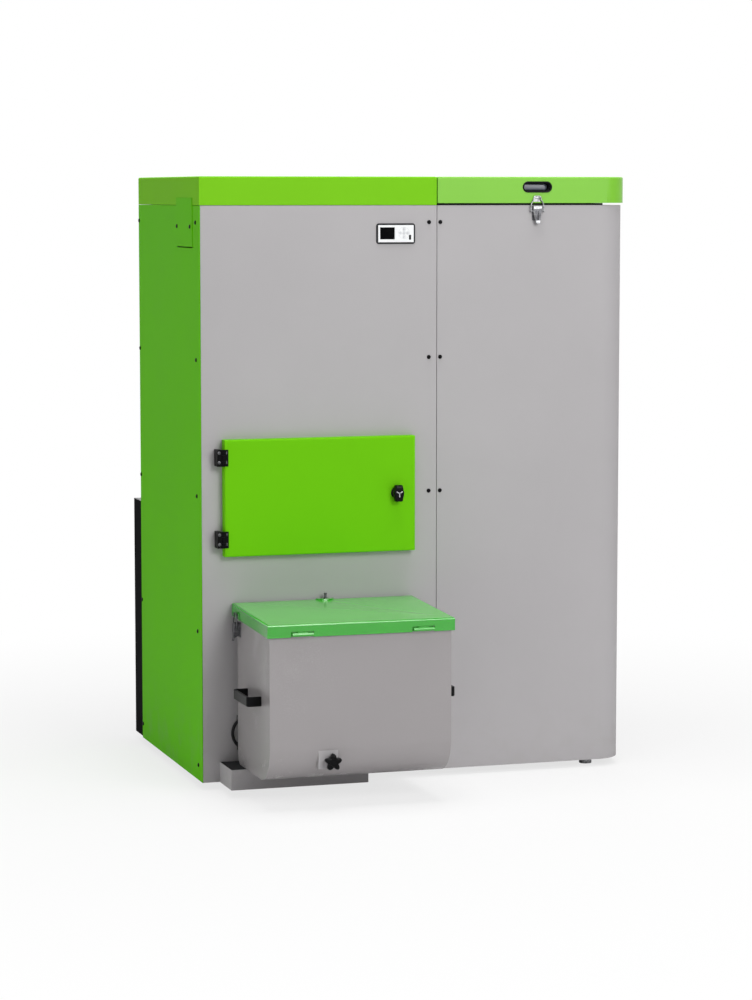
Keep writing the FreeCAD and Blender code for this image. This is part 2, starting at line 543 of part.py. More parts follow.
def build_hopper_lid():
    """Rounded lid over the hopper with its pull, seal and two rear hinges."""
    seal_x = (f"({SEAM_RIGHT} + seal_inset)", "(cabinet_width - seal_right)")
    seal_y = ("seal_inset", f"({BACK} - seal_inset)")
    body = new_body("HopperLid")
    right = f"(cabinet_width + lid_overhang - {LID_LEFT})"
    shape = pad(body, rectangle(body, "XY_Plane", ("0", right), ("0", f"{BACK} + lid_overhang")),
                f"cabinet_height - {LID_BOTTOM}")
    shape = rounded(body, shape, "lid_corner_radius",
                    lambda edge, whole: upright_at(edge, whole.XMax, whole.YMin))
    shape = rounded(body, shape, "cover_edge", on_top)
    hollowed(body, shape, "sheet_gauge", at_bottom)
    put(body, LID_LEFT, "-lid_overhang", LID_BOTTOM)
    flange = rounded_plate("LidFlange", right, f"{BACK} + lid_overhang", "lid_corner_radius", "sheet_gauge")
    put(flange, LID_LEFT, "-lid_overhang", LID_BOTTOM)
    opening = block((f"{seal_x[0]} + seal_width", f"{seal_x[1]} - seal_width"),
                    (f"{seal_y[0]} + seal_width", f"{seal_y[1]} - seal_width"),
                    (f"{LID_BOTTOM} - clear_gap", f"{LID_BOTTOM} + sheet_gauge + clear_gap"))
    height = f"({PANEL_TOP} + pull_rise)"
    through = ("-lid_overhang - clear_gap", "-lid_overhang + sheet_gauge + clear_gap")
    piece("hopper_lid", cut(join(body, cut(flange, opening)), *oval("pull_rim - fit_gap", through, height)))

    face = "(-lid_overhang)"
    rim = join(*oval("0", (f"{face} - pull_proud", face), height))
    cup = join(*oval("pull_rim", (f"{face} - pull_proud", f"{face} + pull_depth"), height))
    depth = (f"{face} - pull_proud - clear_gap", f"{face} + pull_depth - pull_rim")
    hollow = join(*oval("2 * pull_rim", depth, height))
    piece("lid_pull_cup", cut(join(rim, cup), hollow))

    seal_z = (PANEL_TOP, f"{LID_BOTTOM} - fit_gap")
    inside = block((f"{seal_x[0]} + seal_width", f"{seal_x[1]} - seal_width"),
                   (f"{seal_y[0]} + seal_width", f"{seal_y[1]} - seal_width"), seal_z)
    piece("lid_seal", cut(block(seal_x, seal_y, seal_z), inside))

    axis_y = f"({BACK} + barrel_radius + fit_gap)"
    axis_z = f"({PANEL_TOP} + lid_gap / 2)"
    fixed, moving = [], []
    for middle in (f"({LID_LEFT} + lid_hinge_inset)", "(cabinet_width - lid_hinge_inset)"):
        whole = around(middle, "lid_hinge_length / 2")
        knuckle = around(middle, "lid_hinge_length * knuckle_share / 2")
        ends = ((whole[0], f"{knuckle[0]} - fit_gap"), (f"{knuckle[1]} + fit_gap", whole[1]))
        leaf_y = from_(BACK, "leaf_gauge")
        below, above = f"({axis_z} - barrel_radius)", f"({axis_z} + barrel_radius)"
        fixed_parts = [block(whole, leaf_y, (f"{below} - lid_hinge_leaf", f"{below} - fit_gap")),
                       rod("X", (axis_y, axis_z), "pin_radius", whole)]
        for end in ends:
            fixed_parts.append(rod("X", (axis_y, axis_z), "barrel_radius", end))
            fixed_parts.append(block(end, (BACK, axis_y), (f"{axis_z} - 2 * barrel_radius", axis_z)))
        fixed.append(join(*fixed_parts))
        moving_parts = join(
            block(whole, leaf_y, (f"{above} + fit_gap", f"{above} + lid_hinge_leaf")),
            block(knuckle, (BACK, axis_y), (axis_z, f"{axis_z} + 2 * barrel_radius")),
            rod("X", (axis_y, axis_z), "barrel_radius", knuckle))
        moving.append(cut(moving_parts, rod("X", (axis_y, axis_z), "pin_radius + running_gap", whole)))
    piece("lid_hinge_fixed_leaves", group(*fixed))
    piece("lid_hinge_moving_leaves", group(*moving))


def oval(inset, span, height):
    """Rod, slab and rod that make up a long round-ended shape of the lid pull."""
    radius = f"(pull_height / 2 - ({inset}))"
    half = "(pull_length / 2 - pull_height / 2)"
    ends = [rod("Y", (f"(pull_place {sign} {half})", height), radius, span) for sign in "-+"]
    return [*ends, block(around("pull_place", half), span, around(height, radius))]


def build_latch(out):
    """Toggle latch in its own frame: X across, Y out of the wall, Z up, origin at the pivot.

    Returns the base plate with its pivots, the lever and the bail, not yet placed.
    """
    plate = block(("-latch_plate_half", "latch_plate_half"), ("0", "latch_plate"),
                  ("-latch_plate_drop", "latch_plate_rise"), local=True)
    base, lever, bores, bail, eyes = [plate], [], [], [], []
    for sign in ("", "-"):
        def across(start, width):
            """Span on one side of the latch's middle."""
            near, far = f"{sign}({start})", f"{sign}({start} + {width})"
            return (far, near) if sign else (near, far)
        base.append(block(across("ear_place", "ear_gauge"), ("0", f"{out} + ear_half"),
                          ("-ear_half", "ear_half"), local=True))
        pin = across("ear_place", "cheek_place + cheek_gauge + fit_gap / 2 - ear_place")
        base.append(rod("X", (out, "0"), "pivot_radius", pin, local=True))
        cheek = across("cheek_place", "cheek_gauge")
        lever.append(block(cheek, ("latch_plate + lever_lift", f"{out} + lever_rise + lever_skin"),
                           ("-lever_length", "0"), local=True))
        lever.append(rod("X", (out, "0"), "lever_rise", cheek, local=True))
        bores.append(rod("X", (out, "0"), "pivot_radius + running_gap", cheek, local=True))
        stub = across("cheek_place", "bail_place + bail_gauge - cheek_place")
        lever.append(rod("X", (out, "-lever_throw"), "pivot_radius", stub, local=True))
        leg = across("bail_place", "bail_gauge")
        bail.append(block(leg, (f"{out} - bail_half", f"{out} + bail_half"),
                          ("-lever_throw - 2 * bail_half", "bail_rise"), local=True))
        eyes.append(rod("X", (out, "-lever_throw"), "pivot_radius + running_gap", leg, local=True))
        bail.append(rod("X", (out, "-lever_throw"), "2 * bail_half", leg, local=True))
    lever.append(block(("-cheek_place", "cheek_place"),
                       (f"{out} + lever_rise", f"{out} + lever_rise + lever_skin"),
                       ("-lever_length", "-lever_skin_start"), local=True))
    bail.append(block(("-bail_place", "bail_place"), (f"{out} - bail_half", f"{out} + bail_half"),
                      ("bail_rise - bail_bar", "bail_rise"), local=True))
    return join(*base), cut(join(*lever), *bores), cut(join(*bail), *eyes)


def keeper(foot):
    """Hook plate of a latch in the latch's frame, standing on a surface at the given distance out."""
    low = "(bail_rise - bail_bar - keeper_height)"
    plate = block(("-keeper_half", "keeper_half"), (foot, f"{foot} + keeper_rise / 2"),
                  from_(low, "keeper_height"), local=True)
    hook = rod("X", (f"{foot} + keeper_rise / 2", f"{low} + keeper_height - keeper_rise"),
               "keeper_rise / 2", ("-keeper_half", "keeper_half"), local=True)
    return join(plate, hook)


def build_latches():
    """Front latch of the hopper lid and the two side latches of the ash box."""
    out = "(lid_overhang + keeper_rise + latch_play + bail_half)"
    place = ("latch_place", "0", f"{PANEL_TOP} - latch_drop")
    turn = Rotation(Z_AXIS, 180)
    labels = ("lid_latch_base", "lid_latch_lever", "lid_latch_bail")
    for label, item in zip(labels, build_latch(out)):
        piece(label, put(item, *place, turn))
    piece("lid_latch_keeper", put(keeper("lid_overhang"), *place, turn))

    out = "(bin_overhang + keeper_rise + latch_play + bail_half)"
    depth = "(-bin_gap - bin_latch_inset)"
    height = f"{BIN_SKIRT} + (bin_reach - bin_gap - bin_latch_inset) * tan(bin_lid_tilt) - bin_latch_drop"
    bases, keepers = [], []
    for side, x, angle in (("left", "bin_left", 90), ("right", "(bin_left + bin_width)", -90)):
        turn = Rotation(Z_AXIS, angle)
        base, lever, bail = build_latch(out)
        bases.append(put(base, x, depth, height, turn))
        piece(f"{side}_bin_latch_lever", put(lever, x, depth, height, turn))
        piece(f"{side}_bin_latch_bail", put(bail, x, depth, height, turn))
        keepers.append(put(keeper("bin_overhang"), x, depth, height, turn))
    piece("bin_latch_bases", group(*bases))
    return keepers


def build_display():
    """Bezel, plate, screen and the five keys of the control panel."""
    right, top = "bezel_left + bezel_width", f"{PANEL_TOP} - bezel_drop"
    plate_x, plate_z = (PLATE_X, f"{right} - bezel_border"), (PLATE_Z, f"{top} - bezel_border")
    face = "(-bezel_proud - plate_proud)"
    frame = block(("bezel_left", right), ("-bezel_proud", "0"), (BEZEL_BOTTOM, top))
    pocket = block((f"{plate_x[0]} - fit_gap", f"{plate_x[1]} + fit_gap"),
                   (f"{face} - clear_gap", f"{face} + plate_gauge"),
                   (f"{plate_z[0]} - fit_gap", f"{plate_z[1]} + fit_gap"))
    window = block((f"{plate_x[0]} + bezel_lip", f"{plate_x[1]} - bezel_lip"),
                   ("-bezel_proud", "clear_gap"),
                   (f"{plate_z[0]} + bezel_lip", f"{plate_z[1]} - bezel_lip"))
    piece("display_bezel", cut(frame, pocket, window))

    screen_x = from_(f"({PLATE_X} + screen_inset_side)", "screen_width")
    screen_z = from_(f"({PLATE_Z} + screen_inset_low)", "screen_height")
    recess = block((f"{screen_x[0]} - fit_gap", f"{screen_x[1]} + fit_gap"),
                   (f"{face} - clear_gap", f"{face} + screen_gauge"),
                   (f"{screen_z[0]} - fit_gap", f"{screen_z[1]} + fit_gap"))
    slot = block(from_(f"({PLATE_X} + slot_place)", "slot_width"),
                 (f"{face} - clear_gap", f"{face} + slot_depth"),
                 from_(f"({PLATE_Z} + slot_rise)", "slot_height"))
    middle_x, middle_z = f"({PLATE_X} + keypad_place)", f"({PLATE_Z} + keypad_rise)"
    keys = {"ok": (middle_x, middle_z), "left": (f"({middle_x} - key_ring)", middle_z),
            "right": (f"({middle_x} + key_ring)", middle_z), "up": (middle_x, f"({middle_z} + key_ring)"),
            "down": (middle_x, f"({middle_z} - key_ring)")}
    through = (f"{face} - clear_gap", f"{face} + plate_gauge + clear_gap")
    holes = [rod("Y", place, "key_radius + key_play", through) for place in keys.values()]
    plate = block(plate_x, from_(face, "plate_gauge"), plate_z)
    piece("display_plate", cut(plate, recess, slot, *holes))
    piece("display_screen", block(screen_x, from_(face, "screen_gauge"), screen_z))
    for name, place in keys.items():
        piece(f"key_{name}", rod("Y", place, "key_radius", from_(f"({face} - key_proud)", "key_length")))


def build_fire_door():
    """Door pan with its lining and gasket, hinges and lock."""
    body = new_body("FireDoor")
    shape = pad(body, rectangle(body, "XZ_Plane", ("0", "door_width"), ("0", "door_height")),
                "door_proud - door_gap")
    shape = rounded(body, shape, "door_edge", lambda edge, whole: same(edge.YMax, whole.YMin))
    hollowed(body, shape, "sheet_gauge", lambda face, whole: same(face.YMin, whole.YMax))
    put(body, "door_left", "-door_gap", "door_bottom")
    rod_hole = rod("Y", (LOCK_X, LOCK_Z), "lock_rod + running_gap", ("-door_proud - clear_gap", "0"))
    piece("fire_door", cut(body, rod_hole))

    outer_x = ("mouth_left - plug_margin", "mouth_left + mouth_width + plug_margin")
    outer_z = ("mouth_bottom - plug_margin", "mouth_bottom + mouth_height + plug_margin")
    seat = "(vessel_front - plug_gap - gasket_height)"
    piece("door_lining", block(outer_x, ("-door_proud + sheet_gauge", seat), outer_z))
    ring = block(outer_x, from_(seat, "gasket_height"), outer_z)
    inside = block(from_("mouth_left", "mouth_width"), from_(seat, "gasket_height"),
                   from_("mouth_bottom", "mouth_height"))
    piece("door_gasket", cut(ring, inside))

    axis = (DOOR_AXIS_X, DOOR_AXIS_Y)
    fixed, moving = [], []
    for rise in ("door_hinge_low", "door_hinge_high"):
        middle = f"(door_bottom + {rise})"
        whole = around(middle, "door_hinge_height / 2")
        knuckle = around(middle, "door_hinge_height / 6")
        ends = ((whole[0], f"{knuckle[0]} - fit_gap"), (f"{knuckle[1]} + fit_gap", whole[1]))
        block_right = f"({DOOR_AXIS_X} - door_barrel - fit_gap)"
        parts = [block((f"{block_right} - hinge_block", block_right),
                       (f"{DOOR_AXIS_Y} - door_barrel / 2", "0"), whole),
                 rod("Z", axis, "door_pin", whole)]
        for end in ends:
            parts.append(rod("Z", axis, "door_barrel", end))
            parts.append(block((block_right, DOOR_AXIS_X), around(DOOR_AXIS_Y, "door_barrel / 2"), end))
        fixed.append(join(*parts))
        leaf_x = from_(f"({DOOR_AXIS_X} + door_barrel + fit_gap)", "door_leaf")
        leaf_y = ("-door_proud - leaf_gauge", "-door_proud")
        leaf = join(block(leaf_x, leaf_y, whole), block((DOOR_AXIS_X, leaf_x[1]), leaf_y, knuckle),
                    rod("Z", axis, "door_barrel", knuckle))
        moving.append(cut(leaf, rod("Z", axis, "door_pin + running_gap", whole)))
    piece("door_hinge_fixed_leaves", group(*fixed))
    piece("door_hinge_moving_leaves", group(*moving))

    body = new_body("LockKnob")
    pad(body, circle(body, "XY_Plane", "lock_hub"), "lock_proud")
    lobe = pad(body, circle(body, "XY_Plane", "lock_lobe", "lock_lobe_reach"), "lock_proud - lock_neck")
    doc.recompute()
    polar(body, lobe, 2)
    face = "-door_proud - fit_gap - lock_proud"
    put(body, LOCK_X, face, LOCK_Z, Rotation(X_AXIS, -90) * Rotation(Z_AXIS, 90))
    cam_y = from_("(sheet_gauge + cam_gap)", "cam_gauge")
    key_y = (f"{face} - lock_key_proud", "-door_proud - fit_gap")
    knob = join(body, rod("Y", (LOCK_X, LOCK_Z), "lock_key", key_y),
                rod("Y", (LOCK_X, LOCK_Z), "lock_rod", (face, cam_y[1])),
                rod("Y", (LOCK_X, LOCK_Z), "cam_half", cam_y),
                block(around(LOCK_X, "cam_half"), cam_y, (f"{LOCK_Z} - cam_length", LOCK_Z)))
    piece("door_lock", knob)


def tilted(item, x, y, z):
    """Place an object like `put`, turned about X by the slope of the ash box's lid."""
    put(item, x, y, z, Rotation(X_AXIS, SIZES["bin_lid_tilt"]))
    return bind(item, **{"Placement.Rotation.Angle": "bin_lid_tilt"})


def build_ash_box(keepers):
    """Plinth, ash box with handles, hinges and clamp knob, its tilted lid, and the lead behind it."""
    plinth_x = from_("plinth_left", "plinth_width")
    plinth_top = "foot_height + plinth_height"
    plinth = block(plinth_x, ("-plinth_reach", "0"), ("foot_height", plinth_top))
    hollow = block((f"{plinth_x[0]} + sheet_gauge", f"{plinth_x[1]} - sheet_gauge"),
                   ("-plinth_reach + sheet_gauge", "clear_gap"),
                   ("foot_height - clear_gap", f"{plinth_top} - sheet_gauge"))
    piece("bin_plinth", cut(plinth, hollow))

    def bin_blank(name):
        """Side outline of the ash box padded across, with its round toe and heel."""
        body = new_body(name)
        depth = "(bin_reach - bin_gap)"
        rear_top = f"bin_height + {depth} * tan(bin_lid_tilt)"
        profile = [("0", "0"), (depth, "0"), (depth, rear_top), ("0", "bin_height")]
        shape = pad(body, outline(body, "YZ_Plane", profile), "bin_width")
        shape = rounded(body, shape, "bin_toe",
                        lambda edge, whole: same(edge.YMax, whole.YMin) and at_bottom(edge, whole))
        shape = rounded(body, shape, "bin_heel",
                        lambda edge, whole: same(edge.YMin, whole.YMax) and at_bottom(edge, whole))
        return put(body, "bin_left", "-bin_reach", BIN_BOTTOM), shape

    def bin_mouth(face, whole):
        """True for the sloping face at the top of the ash box."""
        sloping = face.XLength > 1 and face.YLength > 1
        return sloping and face.ZMin > whole.ZMin + SIZES["bin_height"] - 1

    body, shape = bin_blank("AshBox")
    hollowed(body, shape, "sheet_gauge", bin_mouth)
    inlet = rod("Y", (BAY, "ash_rise"), "ash_tube + ash_hole_play",
                ("-bin_gap - sheet_gauge - clear_gap", "-bin_gap + clear_gap"))
    piece("ash_bin", cut(body, inlet))

    grips = []
    for x, angle in (("bin_left", 90), ("bin_left + bin_width", -90)):
        body = new_body("Grip")
        half, inner = "(grip_length / 2)", "(grip_length / 2 - grip_gauge)"
        reach = "grip_out - grip_gauge"
        profile = [(f"-{half}", "0"), (f"-{half}", "grip_out"), (half, "grip_out"), (half, "0"),
                   (inner, "0"), (inner, reach), (f"-{inner}", reach), (f"-{inner}", "0")]
        shape = pad(body, outline(body, "XY_Plane", profile), "grip_height")
        rounded(body, shape, "grip_corner",
                lambda edge, whole: any(upright_at(edge, x, whole.YMax) for x in (whole.XMin, whole.XMax)))
        grips.append(put(body, x, "-grip_front + grip_length / 2", "grip_bottom", Rotation(Z_AXIS, angle)))
    piece("bin_handles", group(*grips))

    axis = (BIN_AXIS_Y, BIN_AXIS_Z)
    fixed, moving, notches = [], [], []
    for index in range(2):
        middle = f"(bin_hinge_left + {index} * bin_hinge_pitch)"
        whole = around(middle, "bin_hinge_length / 2")
        knuckle = around(middle, "bin_hinge_length / 4")
        ends = ((whole[0], f"{knuckle[0]} - fit_gap"), (f"{knuckle[1]} + fit_gap", whole[1]))
        low = f"{BIN_AXIS_Z} - bin_barrel"
        parts = [block(whole, ("-bin_reach - leaf_gauge", "-bin_reach"), from_(low, "bin_leaf")),
                 rod("X", axis, "bin_pin", whole)]
        for end in ends:
            parts.append(rod("X", axis, "bin_barrel", end))
            parts.append(block(end, (BIN_AXIS_Y, "-bin_reach"), (low, BIN_AXIS_Z)))
        fixed.append(join(*parts))
        inner = "(bin_hinge_proud + sheet_gauge)"
        leaf_y = from_(inner, "bin_leaf_gauge")
        leaf = join(block(whole, leaf_y, ("bin_barrel + fit_gap", "bin_lid_lap"), local=True),
                    block(knuckle, ("0", leaf_y[1]), ("0", "notch_rise - fit_gap"), local=True),
                    rod("X", ("0", "0"), "bin_barrel", knuckle, local=True))
        leaf = cut(leaf, rod("X", ("0", "0"), "bin_pin + running_gap", whole, local=True))
        moving.append(tilted(leaf, "0", BIN_AXIS_Y, BIN_AXIS_Z))
        notch = block((f"{whole[0]} - notch_play", f"{whole[1]} + notch_play"),
                      ("-clear_gap", f"{inner} + clear_gap"),
                      ("-bin_hinge_rise - clear_gap", "notch_rise"), local=True)
        notches.append(tilted(group(notch), "0", BIN_AXIS_Y, BIN_AXIS_Z))
    piece("bin_hinge_lower_leaves", group(*fixed))
    piece("bin_hinge_upper_leaves", group(*moving))

    body = new_body("AshBoxLid")
    start = "bin_hinge_proud"
    side = rectangle(body, "YZ_Plane", (start, f"{start} + {BIN_LID_LENGTH}"), ("0", "bin_lid_height"))
    shape = pad(body, side, "bin_width + 2 * bin_overhang")
    shape = rounded(body, shape, "bin_lid_edge", on_top)
    hollowed(body, shape, "sheet_gauge", at_bottom)
    tilted(body, "bin_left - bin_overhang", f"{BIN_AXIS_Y} + bin_hinge_rise * sin(bin_lid_tilt)",
           f"{BIN_AXIS_Z} - bin_hinge_rise * cos(bin_lid_tilt)")
    boss_y = "(-bin_lid_rear - boss_inset)"
    reach = f"({BIN_LID_LENGTH} + bin_hinge_proud - boss_inset)"
    lid_top = (f"({BIN_AXIS_Z} + {reach} * tan(bin_lid_tilt)"
               " + (bin_lid_height - bin_hinge_rise) / cos(bin_lid_tilt))")
    boss = doc.addObject("Part::Cylinder", "Boss")
    bind(boss, Radius="boss_radius", Height="boss_sink + boss_rise")
    boss.Angle = 180
    put(boss, "boss_place", boss_y, f"{lid_top} - boss_sink", Rotation(Z_AXIS, 180))
    piece("bin_lid", cut(join(body, boss), *notches))
    stud = rod("Z", ("boss_place", f"{boss_y} - boss_radius / 3"), "stud_radius",
               from_(f"({lid_top} + boss_rise)", "stud_height"))
    piece("bin_lid_fittings", group(stud, *keepers))

    bracket = block(from_("bracket_left", "bracket_width"), ("-bin_reach", "-bin_reach + bin_toe"),
                    from_("bracket_bottom", "bracket_height"))
    blank = bin_blank("ToeForm")[0]
    seat = rod("Y", ("knob_place", "knob_rise"), "knob_shaft + running_gap",
               ("-bin_reach - clear_gap", "-bin_reach + knob_seat + fit_gap"))
    piece("knob_bracket", cut(bracket, blank, seat))

    body = new_body("StarKnob")
    pad(body, circle(body, "XY_Plane", "knob_hub"), "knob_thick + knob_neck - fit_gap")
    lobe = pad(body, circle(body, "XY_Plane", "knob_lobe", "knob_lobe_reach"), "knob_thick")
    doc.recompute()
    polar(body, lobe, 5)
    put(body, "knob_place", f"-{KNOB_REACH}", "knob_rise", Rotation(X_AXIS, -90) * Rotation(Z_AXIS, -90))
    shaft = rod("Y", ("knob_place", "knob_rise"), "knob_shaft",
                (f"-{KNOB_REACH} + knob_thick", "-bin_reach + knob_seat"))
    piece("star_knob", join(body, shaft))

    lead = doc.addObject("Part::Torus", "Lead")
    bind(lead, Radius1="lead_bend", Radius2="lead_radius", Angle3="lead_sweep")
    put(lead, "lead_left + lead_bend", "-lead_out", "lead_middle",
        Rotation(X_AXIS, 90) * Rotation(Z_AXIS, LEAD_START))
    glands = []
    for sign in "-+":
        end_x = "(lead_left + lead_bend - lead_bend * cos(lead_sweep / 2))"
        end_z = f"(lead_middle {sign} lead_bend * sin(lead_sweep / 2))"
        shell = block(from_(f"({end_x} - lead_radius)", "gland_width"), ("-gland_out", "0"),
                      around(end_z, "gland_height / 2"))
        glands.append(cut(shell, lead))
    piece("bin_lead", group(lead, *glands))


def auger(name, shaft, flight, pitch, length, flight_length):
    """Conveyor screw about its body's Z axis: a plain shaft with one helical flight."""
    body = new_body(name)
    pad(body, circle(body, "XY_Plane", shaft), length)
    profile = rectangle(body, "XZ_Plane", (f"{shaft} - flight_gauge", flight),
                        ("flight_end", "flight_end + flight_gauge"))
    doc.recompute()
    helix = body.newObject("PartDesign::AdditiveHelix", "Flight")
    helix.Profile = profile
    helix.ReferenceAxis = (profile, ["V_Axis"])
    helix.Mode = 0
    bind(helix, Pitch=pitch, Height=flight_length)
    return body


def build_hopper():
    """Hopper with its sloping chute, the feed tube and screw below it."""
    deck = corner_plate("Deck", f"({SEAM_RIGHT} + sheet_gauge + fit_gap)", "deck_gauge", DECK_BOTTOM)
    left, front = f"({SEAM_RIGHT} + chute_inset)", "chute_front"
    right, rear = "(cabinet_width - chute_right)", f"({BACK} - chute_rear)"

    inner_x = (f"({left} + sheet_gauge)", f"({right} - sheet_gauge)")
    inner_y = (f"({front} + sheet_gauge)", f"({rear} - sheet_gauge)")
    wall_z = ("chute_knee", DECK_BOTTOM)

    def taper(inset):
        """Wedge from the knee down to the throat, drawn in from its outside by an inset."""
        wedge = doc.addObject("Part::Wedge", "Taper")
        bind(wedge, Xmin=f"throat_place - throat_width / 2 + {inset}",
             Xmax=f"throat_place + throat_width / 2 - {inset}",
             Zmin=f"-feed_depth - throat_length / 2 + {inset}",
             Zmax=f"-feed_depth + throat_length / 2 - {inset}",
             X2min=f"{left} + {inset}", X2max=f"{right} - {inset}",
             Z2min=f"-{rear} + {inset}", Z2max=f"-{front} - {inset}", Ymin="throat_top", Ymax="chute_knee")
        return put(wedge, "0", "0", "0", Rotation(X_AXIS, 90))

    mouth = block(inner_x, inner_y, (f"{DECK_BOTTOM} - clear_gap", f"{PANEL_TOP} + clear_gap"))
    walls = [block((left, right), (front, inner_y[0]), wall_z),
             block((left, right), (inner_y[1], rear), wall_z),
             block((left, inner_x[0]), inner_y, wall_z),
             block((inner_x[1], right), inner_y, wall_z)]
    piece("hopper_funnel", group(cut(deck, mouth), *walls, cut(taper("0"), taper("sheet_gauge"))))

    axis = ("feed_depth", "feed_rise")
    span = ("feed_end", "feed_tube_right")
    throat_x = around("throat_place", "throat_width / 2")
    throat_y = around("feed_depth", "throat_length / 2")
    neck = block(throat_x, throat_y, ("feed_rise", "throat_top"))
    neck_bore = block((f"{throat_x[0]} + sheet_gauge", f"{throat_x[1]} - sheet_gauge"),
                      (f"{throat_y[0]} + sheet_gauge", f"{throat_y[1]} - sheet_gauge"),
                      ("feed_rise", "throat_top + clear_gap"))
    leg = block(("feed_tube_right - feed_leg_inset - stand_leg", "feed_tube_right - feed_leg_inset"),
                around("feed_depth", "stand_leg / 2"), (TRAY_TOP, "feed_rise - feed_tube + feed_wall"))
    bore = rod("X", axis, "feed_tube - feed_wall", span)
    piece("feed_tube", cut(join(rod("X", axis, "feed_tube", span), neck, leg), bore, neck_bore))

    screw = auger("FeedScrew", "feed_shaft", "feed_flight", "feed_pitch",
                  "feed_tube_right - feed_end + motor_bore - flight_end",
                  "feed_tube_right - feed_end - 3 * flight_end")
    piece("feed_screw", put(screw, "feed_end", "feed_depth", "feed_rise", Rotation(Y_AXIS, 90)))


def build_boiler():
    """Water-jacketed vessel with its lining, burn pot and ash screw."""
    left, right = f"({BAY} - vessel_width / 2)", f"({BAY} + vessel_width / 2)"
    rear, top = "(vessel_front + vessel_depth)", f"({PANEL_TOP} - vessel_head)"

    def inside(inset):
        """Box drawn in from the vessel's outside on every face."""
        return block((f"{left} + {inset}", f"{right} - {inset}"),
                     (f"vessel_front + {inset}", f"{rear} - {inset}"),
                     (f"vessel_bottom + {inset}", f"{top} - {inset}"))

    def ducts(grow, reach):
        """Passages through the jacket: doorway, feed, smoke and ash, grown by their wall."""
        mouth = block((f"mouth_left - {grow}", f"mouth_left + mouth_width + {grow}"),
                      (f"vessel_front - {reach}", "vessel_front + jacket"),
                      (f"mouth_bottom - {grow}", f"mouth_bottom + mouth_height + {grow}"))
        feed = rod("X", ("feed_depth", "feed_rise"), f"feed_duct + {grow}",
                   (f"{right} - jacket", f"{right} + {reach}"))
        smoke = rod("Y", ("fan_place", "fan_rise"), f"smoke_bore + {grow}",
                    (f"{rear} - jacket", f"{rear} + {reach}"))
        ash = block(around(BAY, f"ash_chute_width / 2 - ash_wall + {grow}"),
                    (f"ash_chute_front + ash_wall - {grow}",
                     f"ash_chute_front + ash_chute_length - ash_wall + {grow}"),
                    (f"vessel_bottom - {reach}", "vessel_bottom + jacket"))
        return mouth, feed, smoke, ash

    shell = cut(inside("0"), inside("vessel_gauge"))
    tap_y = (f"{rear} - 2 * vessel_gauge", f"{rear} + clear_gap")
    taps = [rod("Y", ("stub_place", rise), "stub_bore", tap_y) for rise in (FLOW_RISE, "return_rise")]
    walls = join(shell, inside("(jacket - vessel_gauge)"), *ducts("vessel_gauge", "0"))
    piece("boiler_vessel", cut(walls, inside("jacket"), *ducts("0", "clear_gap"), *taps))

    room_x = (f"{left} + jacket + fit_gap", f"{right} - jacket - fit_gap")
    room_y = ("vessel_front + jacket + fit_gap", f"{rear} - jacket - fit_gap")
    floor = "(vessel_bottom + jacket)"
    bed = f"({floor} + lining)"
    lining = block(room_x, room_y, from_(floor, "lining_height"))
    hollow = block((f"{room_x[0]} + lining", f"{room_x[1]} - lining"),
                   (f"{room_y[0]} - clear_gap", f"{room_y[1]} + clear_gap"),
                   (bed, f"{floor} + lining_height + clear_gap"))
    feed_hole = rod("X", ("feed_depth", "feed_rise"), "feed_duct",
                    (f"{right} - jacket - lining - clear_gap", right))
    ash_hole = block(around(BAY, "ash_chute_width / 2 - ash_wall"),
                     ("ash_chute_front + ash_wall", "ash_chute_front + ash_chute_length - ash_wall"),
                     (f"{floor} - clear_gap", f"{bed} + clear_gap"))
    piece("firebox_lining", cut(lining, hollow, feed_hole, ash_hole))

    pot_x, pot_y = around(BAY, "pot_width / 2"), from_("pot_front", "pot_depth")
    pot = block(pot_x, pot_y, from_(bed, "pot_height"))
    bowl = block((f"{pot_x[0]} + pot_wall", f"{pot_x[1]} - pot_wall"),
                 (f"{pot_y[0]} + pot_wall", f"{pot_y[1]} - pot_wall"),
                 (f"{bed} + pot_floor", f"{bed} + pot_height + clear_gap"))
    pot_middle = "pot_front + pot_depth / 2"
    grate = [rod("Z", (f"({BAY} + {across} * grate_pitch)", f"({pot_middle} + {along} * grate_pitch)"),
                 "grate_hole", (bed, f"{bed} + pot_floor + clear_gap"))
             for across in (-1, 0, 1) for along in (-1, 0, 1)]
    piece("burn_pot", cut(pot, bowl, *grate))

    axis = (BAY, "ash_rise")
    span = ("-ash_reach", "ash_tube_rear")
    chute_x, chute_y = around(BAY, "ash_chute_width / 2"), from_("ash_chute_front", "ash_chute_length")
    chute = block(chute_x, chute_y, ("ash_rise", "vessel_bottom"))
    chute_bore = block((f"{chute_x[0]} + ash_wall", f"{chute_x[1]} - ash_wall"),
                       (f"{chute_y[0]} + ash_wall", f"{chute_y[1]} - ash_wall"),
                       ("ash_rise", "vessel_bottom + clear_gap"))
    leg_z = (TRAY_TOP, "ash_rise - ash_tube + ash_wall")
    legs = [block(around(BAY, "stand_leg / 2"), from_(y, "stand_leg"), leg_z)
            for y in ("ash_leg_front", "(ash_tube_rear - 2 * stand_leg)")]
    tube_solid = rod("Y", axis, "ash_tube", span)
    tube_bore = rod("Y", axis, "ash_tube - ash_wall", span)
    piece("ash_screw_tube", cut(join(tube_solid, chute, *legs), tube_bore, chute_bore))
    screw = auger("AshScrew", "ash_shaft", "ash_flight", "ash_pitch",
                  "ash_tube_rear + ash_reach + motor_bore - flight_end",
                  "ash_tube_rear + ash_reach - 3 * flight_end")
    piece("ash_screw", put(screw, BAY, "-ash_reach", "ash_rise", Rotation(X_AXIS, -90)))


